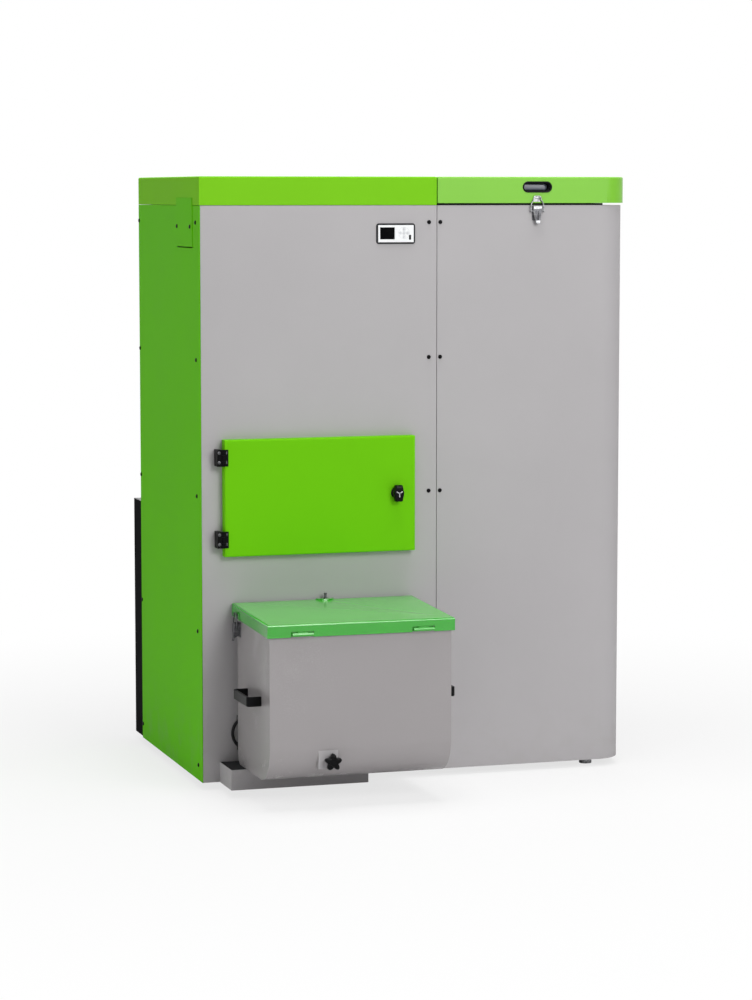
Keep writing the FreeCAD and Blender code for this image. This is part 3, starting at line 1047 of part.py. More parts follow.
def build_rear():
    """Smoke fan with its casing and flue, the black cover behind it, drives and water stubs."""
    casing_x = from_("casing_left", "casing_width")
    casing_z = from_("casing_bottom", "casing_height")
    casing_y = from_(BACK, "casing_depth")
    fan, flue = ("fan_place", "fan_rise"), ("flue_place", "fan_rise")
    collar_start = "(vessel_front + vessel_depth)"
    box = block(casing_x, casing_y, casing_z)
    room = block((f"{casing_x[0]} + sheet_gauge", f"{casing_x[1]} - sheet_gauge"),
                 (f"{casing_y[0]} + sheet_gauge", f"{casing_y[1]} - sheet_gauge"),
                 (f"{casing_z[0]} + sheet_gauge", f"{casing_z[1]} - sheet_gauge"))
    neck_end = f"{FLUE_END} - flue_length"
    neck = rod("Y", flue, "flue_neck", (f"{casing_y[1]} - sheet_gauge", neck_end))
    spigot = rod("Y", flue, "flue_radius", (neck_end, FLUE_END))
    drill_start = f"{casing_y[1]} - sheet_gauge - clear_gap"
    flue_bore = rod("Y", flue, "flue_neck - flue_wall", (drill_start, f"{FLUE_END} + clear_gap"))
    collar = rod("Y", fan, "smoke_collar", (collar_start, f"{casing_y[0]} + sheet_gauge"))
    collar_bore = rod("Y", fan, "smoke_bore",
                      (f"{collar_start} - clear_gap", f"{casing_y[0]} + sheet_gauge + clear_gap"))
    shaft_hole = rod("Y", fan, "fan_shaft + clear_gap", (drill_start, f"{casing_y[1]} + clear_gap"))
    shell = join(cut(box, room), neck, spigot, collar)
    piece("smoke_fan_casing", cut(shell, flue_bore, collar_bore, shaft_hole))

    body = new_body("FanWheel")
    pad(body, circle(body, "XY_Plane", "fan_wheel"), "fan_disc")
    pad(body, circle(body, "XY_Plane", "fan_hub"), "fan_disc + fan_blade_height")
    blade_form = rectangle(body, "XY_Plane", ("fan_blade_start", "fan_wheel - fan_blade_gauge"),
                           ("-fan_blade_gauge / 2", "fan_blade_gauge / 2"))
    blade = pad(body, blade_form, "fan_disc + fan_blade_height")
    doc.recompute()
    polar(body, blade, FAN_BLADES)
    wheel_back = f"({casing_y[1]} - sheet_gauge - fan_setback)"
    put(body, "fan_place", wheel_back, "fan_rise", Rotation(X_AXIS, 90))
    shaft = rod("Y", fan, "fan_shaft",
                (f"{wheel_back} - fan_disc", f"{casing_y[1]} + fan_motor_length / 2"))
    piece("smoke_fan_wheel", join(body, shaft))

    def motor(axis, centre, radius, span, bore, mouth):
        """Drive with a blind bore for the shaft that it carries."""
        return cut(rod(axis, centre, radius, span), rod(axis, centre, f"{bore} + running_gap", mouth))

    feed_span = from_("feed_tube_right", "motor_length")
    ash_span = from_("ash_tube_rear", "motor_length")
    fan_span = from_(casing_y[1], "fan_motor_length")
    piece("drive_motors", group(
        motor("X", ("feed_depth", "feed_rise"), "motor_radius", feed_span, "feed_shaft",
              from_(feed_span[0], "motor_bore")),
        motor("Y", (BAY, "ash_rise"), "ash_tube", ash_span, "ash_shaft", from_(ash_span[0], "motor_bore")),
        motor("Y", fan, "fan_motor_radius", fan_span, "fan_shaft",
              from_(fan_span[0], "fan_motor_length * 0.75"))))

    box_x = from_("rear_box_left", "rear_box_width")
    box_z = from_("(foot_height + rear_box_rise)", "rear_box_height")
    box_y = from_(BACK, "rear_box_depth")
    cover = block(box_x, box_y, box_z)
    room = block((f"{box_x[0]} + rear_box_gauge", f"{box_x[1]} - rear_box_gauge"),
                 (f"{box_y[0]} - clear_gap", f"{box_y[1]} - rear_box_gauge"),
                 (f"{box_z[0]} + rear_box_gauge", f"{box_z[1]} - rear_box_gauge"))
    through = (f"{box_y[1]} - rear_box_gauge - clear_gap", f"{box_y[1]} + clear_gap")
    column_pitch = "(vent_length + vent_pitch)"
    vents = [block(from_(f"(rear_box_left + vent_left + {column} * {column_pitch})", "vent_length"),
                   through, from_(f"(foot_height + vent_bottom + {row} * vent_pitch)", "vent_height"))
             for column in range(2) for row in range(VENT_SLOTS)]
    flue_hole = rod("Y", flue, "flue_neck + clear_gap", through)
    piece("rear_fan_cover", cut(cover, room, flue_hole, *vents))

    stubs = []
    stub_start = "(vessel_front + vessel_depth)"
    thread_start = f"({BACK} + stub_collar)"
    for rise in (FLOW_RISE, "return_rise"):
        centre = ("stub_place", rise)
        pipe = rod("Y", centre, "stub_radius", (stub_start, thread_start))
        thread = rod("Y", centre, "stub_thread", from_(thread_start, "stub_thread_length"))
        bore = rod("Y", centre, "stub_bore",
                   (f"{stub_start} - clear_gap", f"{thread_start} + stub_thread_length + clear_gap"))
        stubs.append(cut(join(pipe, thread), bore))
    piece("water_stubs", group(*stubs))


def check_document():
    """Stop if any object failed to compute or any sub-part has no valid shape."""
    for item in doc.Objects:
        if any(state in ("Invalid", "Error") for state in item.State):
            raise RuntimeError(f"{item.Name} ({item.Label}) did not compute: {item.State}")
    for item in pieces:
        if item.Shape.isNull() or not item.Shape.isValid() or not item.Shape.Solids:
            raise RuntimeError(f"{item.Label} has no valid solid")


def main():
    """Build every sub-part, check the document and write the STEP files."""
    build_frame()
    build_panels()
    build_hopper_lid()
    keepers = build_latches()
    build_display()
    build_fire_door()
    build_ash_box(keepers)
    build_hopper()
    build_boiler()
    build_rear()
    doc.recompute()
    check_document()
    os.makedirs("parts", exist_ok=True)
    whole = FreeCAD.BoundBox()
    for item in pieces:
        item.Shape.exportStep(os.path.join("parts", f"{item.Label}.step"))
        whole.add(item.Shape.BoundBox)
    print(len(pieces), "sub-parts,", sum(len(item.Shape.Solids) for item in pieces), "solids,", whole)


main()
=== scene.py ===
"""Looks of the pellet boiler: finishes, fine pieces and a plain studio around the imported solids.

Small pieces are drawn in millimetres in a local frame (a Seat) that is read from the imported
solids, and land in metres in the row frame, so every object sits at the origin.
"""

import json
import logging
import math
from dataclasses import dataclass, replace
from enum import Enum
from typing import Callable, Sequence

import bmesh
import bpy
from mathutils import Matrix, Vector


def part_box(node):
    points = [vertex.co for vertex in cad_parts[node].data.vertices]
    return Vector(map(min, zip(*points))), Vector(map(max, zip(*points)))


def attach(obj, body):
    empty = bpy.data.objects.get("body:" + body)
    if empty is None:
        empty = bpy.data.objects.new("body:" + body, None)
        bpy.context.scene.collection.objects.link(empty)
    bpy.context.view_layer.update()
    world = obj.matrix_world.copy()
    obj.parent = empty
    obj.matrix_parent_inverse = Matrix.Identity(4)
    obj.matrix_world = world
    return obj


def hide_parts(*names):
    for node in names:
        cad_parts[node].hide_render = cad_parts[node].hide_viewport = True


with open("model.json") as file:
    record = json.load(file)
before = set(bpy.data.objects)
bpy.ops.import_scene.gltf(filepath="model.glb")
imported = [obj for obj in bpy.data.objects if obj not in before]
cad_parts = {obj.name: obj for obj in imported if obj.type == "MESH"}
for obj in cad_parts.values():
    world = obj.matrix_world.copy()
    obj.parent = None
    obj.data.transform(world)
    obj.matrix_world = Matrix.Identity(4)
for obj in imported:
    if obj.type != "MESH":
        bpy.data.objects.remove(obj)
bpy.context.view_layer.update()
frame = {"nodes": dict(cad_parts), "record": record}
log = logging.getLogger("boiler")

MM = 0.001  # metres in a millimetre
WELD = 2e-6  # points closer than this many metres are one
LEAST_CORNER = 0.4  # smallest corner radius in millimetres
FLAT_TURN = 0.4  # faces that turn by fewer degrees are one flat
TOP_BAND = 0.3  # millimetres below the top that a crown takes in
LEFT = Vector((-1.0, 0.0, 0.0))
RIGHT = Vector((1.0, 0.0, 0.0))
FRONT = Vector((0.0, -1.0, 0.0))
REAR = Vector((0.0, 1.0, 0.0))
UP = Vector((0.0, 0.0, 1.0))
Triple = tuple[float, float, float]
Colour = Triple
Span = tuple[float, float]
Profile = tuple[Span, ...]
NODES: dict[str, bpy.types.Object] = frame["nodes"]
BODY_OF = {node: body for body, nodes in frame["record"]["behaviour"]["bodies"].items()
           for node in nodes}


class Sock:
    """Socket of a node tree that takes part in Python expressions."""

    def __init__(self, graph: "Graph", socket: bpy.types.NodeSocket) -> None:
        """Keep the tree and the socket."""
        self.graph = graph
        self.socket = socket

    def other(self, name: str) -> "Sock":
        """Another output of the same node."""
        return Sock(self.graph, self.socket.node.outputs[name])

    def maths(self, operation: str, first: "Sock | float", second: "Sock | float") -> "Sock":
        """Math node on two values."""
        return self.graph.node("ShaderNodeMath", {"operation": operation}, {0: first, 1: second})

    def __add__(self, value: "Sock | float") -> "Sock":
        """Sum."""
        return self.maths("ADD", self, value)

    def __radd__(self, value: float) -> "Sock":
        """Sum with a number in front."""
        return self.maths("ADD", value, self)

    def __sub__(self, value: "Sock | float") -> "Sock":
        """Difference."""
        return self.maths("SUBTRACT", self, value)

    def __rsub__(self, value: float) -> "Sock":
        """Difference from a number."""
        return self.maths("SUBTRACT", value, self)

    def __mul__(self, value: "Sock | float") -> "Sock":
        """Product."""
        return self.maths("MULTIPLY", self, value)

    def __rmul__(self, value: float) -> "Sock":
        """Product with a number in front."""
        return self.maths("MULTIPLY", value, self)

    def rise(self, low: float, high: float) -> "Sock":
        """Smooth step from 0 at low to 1 at high; low may lie above high."""
        return self.graph.node("ShaderNodeMapRange", {"interpolation_type": "SMOOTHSTEP"},
                               {"Value": self, "From Min": low, "From Max": high})


class Graph:
    """Shader or geometry tree being built."""

    def __init__(self, tree: bpy.types.NodeTree) -> None:
        """Keep the tree."""
        self.tree = tree

    def node(self, kind: str, settings: dict | None = None, sockets: dict | None = None,
             output: int | str = 0) -> "Sock | None":
        """Add a node.

        Args:
            kind: Type name of the node.
            settings: Properties, which are set first.
            sockets: Values or links of its inputs, by name or number; a list holds several links.
            output: Output that is returned.

        Returns:
            The chosen output, or None for a node that has none.
        """
        made = self.tree.nodes.new(kind)
        for name, value in (settings or {}).items():
            setattr(made, name, value)
        for name, value in (sockets or {}).items():
            for item in value if isinstance(value, list) else [value]:
                if isinstance(item, Sock):
                    self.tree.links.new(item.socket, made.inputs[name])
                else:
                    made.inputs[name].default_value = item
        return Sock(self, made.outputs[output]) if len(made.outputs) else None

    def place(self, scale: Triple = (1.0, 1.0, 1.0)) -> Sock:
        """Object coordinates in metres, stretched along each axis.

        Args:
            scale: Stretch along x, y and z.

        Returns:
            The coordinates.
        """
        raw = self.node("ShaderNodeTexCoord", output="Object")
        if scale == (1.0, 1.0, 1.0):
            return raw
        return self.node("ShaderNodeMapping", {"vector_type": "TEXTURE"},
                         {"Vector": raw, "Scale": scale})

    def height(self) -> Sock:
        """Height over the floor in metres."""
        return self.node("ShaderNodeSeparateXYZ", sockets={0: self.place()}, output="Z")

    def noise(self, place: Sock, scale: float, detail: float = 2.0) -> Sock:
        """Cloudy pattern between 0 and 1."""
        return self.node("ShaderNodeTexNoise",
                         sockets={"Vector": place, "Scale": scale, "Detail": detail})

    def mix(self, share: "Sock | float", first: "Sock | Colour", second: "Sock | Colour") -> Sock:
        """Blend of two colours."""
        first, second = (item if isinstance(item, Sock) else (*item, 1.0) for item in (first, second))
        return self.node("ShaderNodeMix", {"data_type": "RGBA"}, {0: share, 6: first, 7: second}, 2)

    def bump(self, relief: Sock, strength: float, depth: float) -> Sock:
        """Normal that follows a relief."""
        return self.node("ShaderNodeBump", output="Normal",
                         sockets={"Height": relief, "Strength": strength, "Distance": depth})

    def surface(self, **sockets: "Sock | float") -> None:
        """Principled shader into the output; underscores in names stand for spaces.

        Args:
            **sockets: Values or links of the shader's inputs.
        """
        values = {name.replace("_", " "): value for name, value in sockets.items()}
        shader = self.node("ShaderNodeBsdfPrincipled", sockets=values)
        self.node("ShaderNodeOutputMaterial", sockets={"Surface": shader})


def toned(colour: Colour, factor: float) -> Colour:
    """Lighter or darker colour."""
    return tuple(min(1.0, part * factor) for part in colour)


@dataclass(frozen=True)
class Finish:
    """Named finish whose material is made once."""
    name: str

    def shade(self, graph: Graph) -> None:
        """Fill the material's tree."""
        raise NotImplementedError

    def material(self) -> bpy.types.Material:
        """Material of this finish, made at its first use.

        Returns:
            The material.
        """
        made = bpy.data.materials.get(self.name)
        if made is None:
            made = bpy.data.materials.new(self.name)
            made.use_nodes = True
            made.node_tree.nodes.clear()
            self.shade(Graph(made.node_tree))
        return made


@dataclass(frozen=True)
class PowderCoat(Finish):
    """Sprayed and baked paint: fine orange peel, faint clouds, a little dust near the floor."""
    colour: Colour
    roughness: float = 0.42
    gloss: float = 0.3
    peel: float = 0.1
    soil: float = 0.16
    dust: Colour = (0.36, 0.34, 0.32)

    def shade(self, graph: Graph) -> None:
        """Fill the material's tree.

        Args:
            graph: Tree of the material.
        """
        place = graph.place()
        cloud = graph.noise(place, 4.0, 3.0)
        fleck = graph.noise(place, 1100.0, 1.0)
        tone = graph.mix(cloud * 0.55 + fleck * 0.45, toned(self.colour, 0.92),
                         toned(self.colour, 1.08))
        dusty = graph.height().rise(0.22, 0.02) * graph.noise(place, 24.0, 4.0).rise(0.42, 0.75)
        peel = graph.noise(place, 620.0, 2.0)
        graph.surface(Base_Color=graph.mix(dusty * self.soil, tone, self.dust),
                      Roughness=self.roughness - 0.05 + cloud * 0.06 + fleck * 0.04 + dusty * self.soil,
                      Normal=graph.bump(peel, self.peel, 0.0003), Specular_IOR_Level=self.gloss)


@dataclass(frozen=True)
class ZincPlate(Finish):
    """Bright plated steel with a soft bluish mottle and drawn marks."""
    light: Colour = (0.6, 0.605, 0.62)
    deep: Colour = (0.12, 0.122, 0.13)
    roughness: float = 0.3
    metal: float = 0.8

    def shade(self, graph: Graph) -> None:
        """Fill the material's tree.

        Args:
            graph: Tree of the material.
        """
        mottle = graph.noise(graph.place(), 180.0, 3.0)
        drawn = graph.noise(graph.place((1.0, 1.0, 0.04)), 90.0, 2.0)
        share = (mottle * 0.7 + drawn * 0.3).rise(0.3, 0.7)
        graph.surface(Base_Color=graph.mix(share, self.deep, self.light), Metallic=self.metal,
                      Roughness=self.roughness + mottle * 0.12 + drawn * 0.06,
                      Normal=graph.bump(drawn, 0.08, 0.0002))


@dataclass(frozen=True)
class BlackSteel(Finish):
    """Blackened steel of screws and hinges, rubbed a little brighter in spots."""
    colour: Colour = (0.003, 0.003, 0.0035)
    roughness: float = 0.3

    def shade(self, graph: Graph) -> None:
        """Fill the material's tree."""
        rub = graph.noise(graph.place(), 420.0, 3.0)
        graph.surface(Base_Color=graph.mix(rub.rise(0.45, 0.8), self.colour, toned(self.colour, 2.6)),
                      Metallic=0.2, Roughness=self.roughness + rub * 0.14,
                      Normal=graph.bump(rub, 0.12, 0.0002), Specular_IOR_Level=0.07)


@dataclass(frozen=True)
class MouldedPlastic(Finish):
    """Moulded plastic with a fine spark-eroded grain."""
    colour: Colour
    roughness: float = 0.45
    grain: float = 0.2
    gloss: float = 0.45

    def shade(self, graph: Graph) -> None:
        """Fill the material's tree.

        Args:
            graph: Tree of the material.
        """
        place = graph.place()
        grain = graph.noise(place, 1500.0, 2.0)
        cloud = graph.noise(place, 60.0, 2.0)
        graph.surface(Base_Color=graph.mix(cloud * 0.5 + grain * 0.5, toned(self.colour, 0.9),
                                           toned(self.colour, 1.12)),
                      Roughness=self.roughness - 0.06 + cloud * 0.08 + grain * 0.06,
                      Normal=graph.bump(grain, self.grain, 0.0002), Specular_IOR_Level=self.gloss)


@dataclass(frozen=True)
class ScreenGlass(Finish):
    """Dark polished window of an unlit screen, faintly smudged."""
    colour: Colour = (0.001, 0.001, 0.0013)

    def shade(self, graph: Graph) -> None:
        """Fill the material's tree."""
        smudge = graph.noise(graph.place(), 140.0, 4.0)
        graph.surface(Base_Color=graph.mix(smudge, self.colour, toned(self.colour, 1.8)),
                      Roughness=0.1 + smudge.rise(0.4, 0.75) * 0.18, Specular_IOR_Level=0.015)


@dataclass(frozen=True)
class Rubber(Finish):
    """Matt black rubber with a dusty bloom."""
    colour: Colour = (0.014, 0.014, 0.015)

    def shade(self, graph: Graph) -> None:
        """Fill the material's tree."""
        bloom = graph.noise(graph.place(), 220.0, 4.0)
        graph.surface(Base_Color=graph.mix(bloom.rise(0.4, 0.85), self.colour, toned(self.colour, 2.2)),
                      Roughness=0.62 + bloom * 0.2, Normal=graph.bump(bloom, 0.15, 0.0003),
                      Specular_IOR_Level=0.1)


@dataclass(frozen=True)
class RopeSeal(Finish):
    """Woven glass rope: two crossing sets of strands."""
    light: Colour = (0.5, 0.48, 0.43)
    deep: Colour = (0.16, 0.15, 0.135)

    def shade(self, graph: Graph) -> None:
        """Fill the material's tree.

        Args:
            graph: Tree of the material.
        """
        strands = []
        for turn in (0.7, -0.7):
            place = graph.node("ShaderNodeMapping", sockets={
                "Vector": graph.place(), "Rotation": (0.3, turn, 0.0)})
            strands.append(graph.node("ShaderNodeTexWave", {"bands_direction": "X"},
                                      {"Vector": place, "Scale": 90.0, "Distortion": 1.2}, "Fac"))
        weave = strands[0] * 0.5 + strands[1] * 0.5
        graph.surface(Base_Color=graph.mix(weave, self.deep, self.light), Roughness=0.8 + weave * 0.15,
                      Normal=graph.bump(weave, 0.7, 0.0012))


@dataclass(frozen=True)
class MineralBoard(Finish):
    """Pressed fire-resistant board with pale flakes and pores."""
    colour: Colour = (0.56, 0.48, 0.36)

    def shade(self, graph: Graph) -> None:
        """Fill the material's tree.

        Args:
            graph: Tree of the material.
        """
        place = graph.place()
        flakes = graph.node("ShaderNodeTexVoronoi", output="Distance",
                            sockets={"Vector": place, "Scale": 160.0})
        cloud = graph.noise(place, 14.0, 5.0)
        share = flakes * 0.5 + cloud * 0.5
        graph.surface(Base_Color=graph.mix(share, toned(self.colour, 0.72), toned(self.colour, 1.22)),
                      Roughness=0.82 + cloud * 0.12, Normal=graph.bump(flakes, 0.35, 0.0012))


@dataclass(frozen=True)
class CastIron(Finish):
    """Sand-cast iron, dark and pitted."""
    colour: Colour = (0.06, 0.056, 0.054)

    def shade(self, graph: Graph) -> None:
        """Fill the material's tree."""
        sand = graph.noise(graph.place(), 520.0, 4.0)
        graph.surface(Base_Color=graph.mix(sand, toned(self.colour, 0.7), toned(self.colour, 1.5)),
                      Metallic=0.4, Roughness=0.6 + sand * 0.2, Normal=graph.bump(sand, 0.5, 0.0008))


@dataclass(frozen=True)
class MillSteel(Finish):
    """Bare rolled sheet with long rolling marks and faint heat stain."""
    light: Colour = (0.52, 0.52, 0.53)
    deep: Colour = (0.3, 0.29, 0.285)
    stain: Colour = (0.22, 0.17, 0.12)

    def shade(self, graph: Graph) -> None:
        """Fill the material's tree.

        Args:
            graph: Tree of the material.
        """
        rolled = graph.noise(graph.place((1.0, 1.0, 0.02)), 40.0, 3.0)
        cloud = graph.noise(graph.place(), 9.0, 4.0)
        tone = graph.mix(rolled, self.deep, self.light)
        graph.surface(Base_Color=graph.mix(cloud.rise(0.58, 0.85) * 0.4, tone, self.stain),
                      Metallic=0.95, Roughness=0.36 + rolled * 0.12 + cloud * 0.1,
                      Normal=graph.bump(rolled, 0.1, 0.0003))


@dataclass(frozen=True)
class PaperFloor(Finish):
    """Pale studio floor that the camera sees near white, with the object's shadow kept."""
    colour: Colour = (0.8, 0.8, 0.8)
    white_share: float = 0.74
    fade: Span = (0.75, 2.4)

    def shade(self, graph: Graph) -> None:
        """Fill the material's tree.

        Args:
            graph: Tree of the material.
        """
        fibre = graph.noise(graph.place(), 30.0, 4.0)
        paper = graph.node("ShaderNodeBsdfDiffuse", sockets={
            "Color": graph.mix(fibre, toned(self.colour, 0.985), toned(self.colour, 1.015))})
        white = graph.node("ShaderNodeEmission", sockets={"Strength": 1.0})
        seen = graph.node("ShaderNodeLightPath", output="Is Camera Ray")
        away = graph.node("ShaderNodeVectorMath", {"operation": "LENGTH"}, {0: graph.place()},
                          "Value")
        share = self.white_share + away.rise(*self.fade) * (1.0 - self.white_share)
        both = graph.node("ShaderNodeMixShader", sockets={0: seen * share, 1: paper, 2: white})
        graph.node("ShaderNodeOutputMaterial", sockets={"Surface": both})


class Paint(Enum):
    """The finishes of this boiler; several are lighter or darker copies of one paint, which stand for painted
    light and shade.
    """
    GREEN = PowderCoat("Green powder coat", (0.152, 0.55, 0.004), 0.5, 0.05)
    # Copy of the green coat, a little less red, as painted shade on the left side and its strap.
    SHADED_SIDE_GREEN = PowderCoat("Green coat, painted side shade", (0.124, 0.545, 0.004), 0.55, 0.03)
    # Lighter, yellower copy of the green coat, as painted sheen from the light above, on the top cover and
    # the hopper lid's top faces.
    SHEEN_COVER_GREEN = PowderCoat("Green coat, painted top sheen", (0.195, 0.565, 0.016), 0.55, 0.02)
    # Paler copy of the green coat, as painted sheen on the hopper lid's front.
    SHEEN_HOPPER_GREEN = PowderCoat("Hopper lid green, painted sheen", (0.195, 0.53, 0.03), 0.34, 0.34, 0.06)
    LID_GREEN = PowderCoat("Ash lid green", (0.012, 0.375, 0.003), 0.15, 1.0, 0.03)
    # Lighter copy of the ash lid green, as painted sheen on the lid's top faces.
    SHEEN_LID_TOP_GREEN = PowderCoat("Ash lid green, painted top sheen", (0.11, 0.48, 0.075), 0.18, 1.0, 0.03)
    GREY = PowderCoat("Grey powder coat", (0.435, 0.42, 0.43), 0.48, 0.2, 0.16)
    BIN_GREY = PowderCoat("Ash box grey", (0.325, 0.305, 0.31), 0.26, 0.7, 0.05, 0.02)
    BLACK = PowderCoat("Black coat", (0.008, 0.008, 0.009), 0.45, 0.12, 0.2, 0.1,
                       (0.05, 0.048, 0.045))
    # Darker copy of the black coat that reflects almost nothing, as painted shade on the rear cover's left
    # flank.
    SHADED_FLANK_BLACK = PowderCoat("Black coat, painted flank shade", (0.003, 0.003, 0.0035), 0.55, 0.006, 0.2, 0.02,
                            (0.03, 0.029, 0.027))
    ZINC = ZincPlate("Zinc plate")
    DARK_ZINC = ZincPlate("Dark plated steel", (0.16, 0.16, 0.17), (0.05, 0.05, 0.055), 0.3)
    BLACK_STEEL = BlackSteel("Blackened steel")
    BLACK_PLASTIC = MouldedPlastic("Black moulding", (0.003, 0.003, 0.0035), 0.3, 0.2, 0.1)
    BEZEL = MouldedPlastic("Dark grey moulding", (0.02, 0.021, 0.024), 0.42, 0.2, 0.2)
    # Dark blue-grey moulding, lightened as painted reflection on the pull's cup floor.
    CUP_PAINTED_REFLECTION = MouldedPlastic("Pull cup, painted reflection", (0.12, 0.135, 0.175), 0.2, 0.06, 0.6)
    WHITE = MouldedPlastic("White plate", (0.86, 0.87, 0.88), 0.36, 0.05, 0.4)
    KEY = MouldedPlastic("Pale key", (0.68, 0.69, 0.71), 0.4, 0.08)
    SCREEN = ScreenGlass("Screen glass")
    RUBBER = Rubber("Black rubber")
    ROPE = RopeSeal("Rope seal")
    BOARD = MineralBoard("Mineral board")
    IRON = CastIron("Cast iron")
    STEEL = MillSteel("Mill steel")
    ALLOY = ZincPlate("Pressed alloy", (0.78, 0.79, 0.8), (0.6, 0.61, 0.62), 0.36, 1.0)


@dataclass(frozen=True)
class Seat:
    """Local frame of a small piece: millimetres in, metres of the row frame out."""
    origin: Vector
    across: Vector = RIGHT
    out: Vector = FRONT
    up: Vector = UP

    def __call__(self, x: float, y: float, z: float) -> Vector:
        """Point at millimetres across, out and up."""
        return self.origin + (self.across * x + self.out * y + self.up * z) * MM


def middle(node: str) -> Vector:
    """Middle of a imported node's box."""
    low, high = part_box(node)
    return (low + high) / 2


def sided(near: float, far: float, side: float) -> Span:
    """Span between two distances on one side of the middle."""
    return tuple(sorted((near * side, far * side)))


def mirrored(points: Sequence[Span]) -> list[Span]:
    """Points of the right half, carried on by their mirror images; those on the middle line count once."""
    return [*points, *((-x, z) for x, z in reversed(points) if x)]


def half_arc(centre: Span, radii: Span, step: int) -> list[Span]:
    """Points (out, up) of the outer half of an ellipse, upwards in steps of degrees."""
    return [(centre[0] + radii[0] * math.cos(turn), centre[1] + radii[1] * math.sin(turn))
            for turn in map(math.radians, range(-90, 91, step))]


def round_ring(seat: Seat, radius: float, depth: float, sides: int,
               shape: Callable[[float], float] | None = None) -> list[Vector]:
    """Ring of points about a seat's outward axis.

    Args:
        seat: Local frame.
        radius: Radius in millimetres.
        depth: Distance out in millimetres.
        sides: Count of points.
        shape: Factor on the radius for each angle.

    Returns:
        The points in order.
    """
    ring = []
    for index in range(sides):
        angle = 2 * math.pi * index / sides
        reach = radius * (shape(angle) if shape else 1.0)
        ring.append(seat(reach * math.cos(angle), depth, reach * math.sin(angle)))
    return ring


def card_ring(seat: Seat, across: Span, up: Span, corner: float, depth: float,
              steps: int = 6) -> list[Vector]:
    """Ring of points round a rectangle with round corners, facing out of a seat.

    Args:
        seat: Local frame.
        across: Ends of the rectangle across, in millimetres.
        up: Ends of the rectangle upwards, in millimetres.
        corner: Corner radius in millimetres.
        depth: Distance out in millimetres.
        steps: Points in each corner, less one.

    Returns:
        The points in order.
    """
    centres = ((across[1] - corner, up[1] - corner), (across[0] + corner, up[1] - corner),
               (across[0] + corner, up[0] + corner), (across[1] - corner, up[0] + corner))
    ring = []
    for quarter, (x, z) in enumerate(centres):
        for step in range(steps + 1):
            angle = math.pi / 2 * (quarter + step / steps)
            ring.append(seat(x + corner * math.cos(angle), depth, z + corner * math.sin(angle)))
    return ring


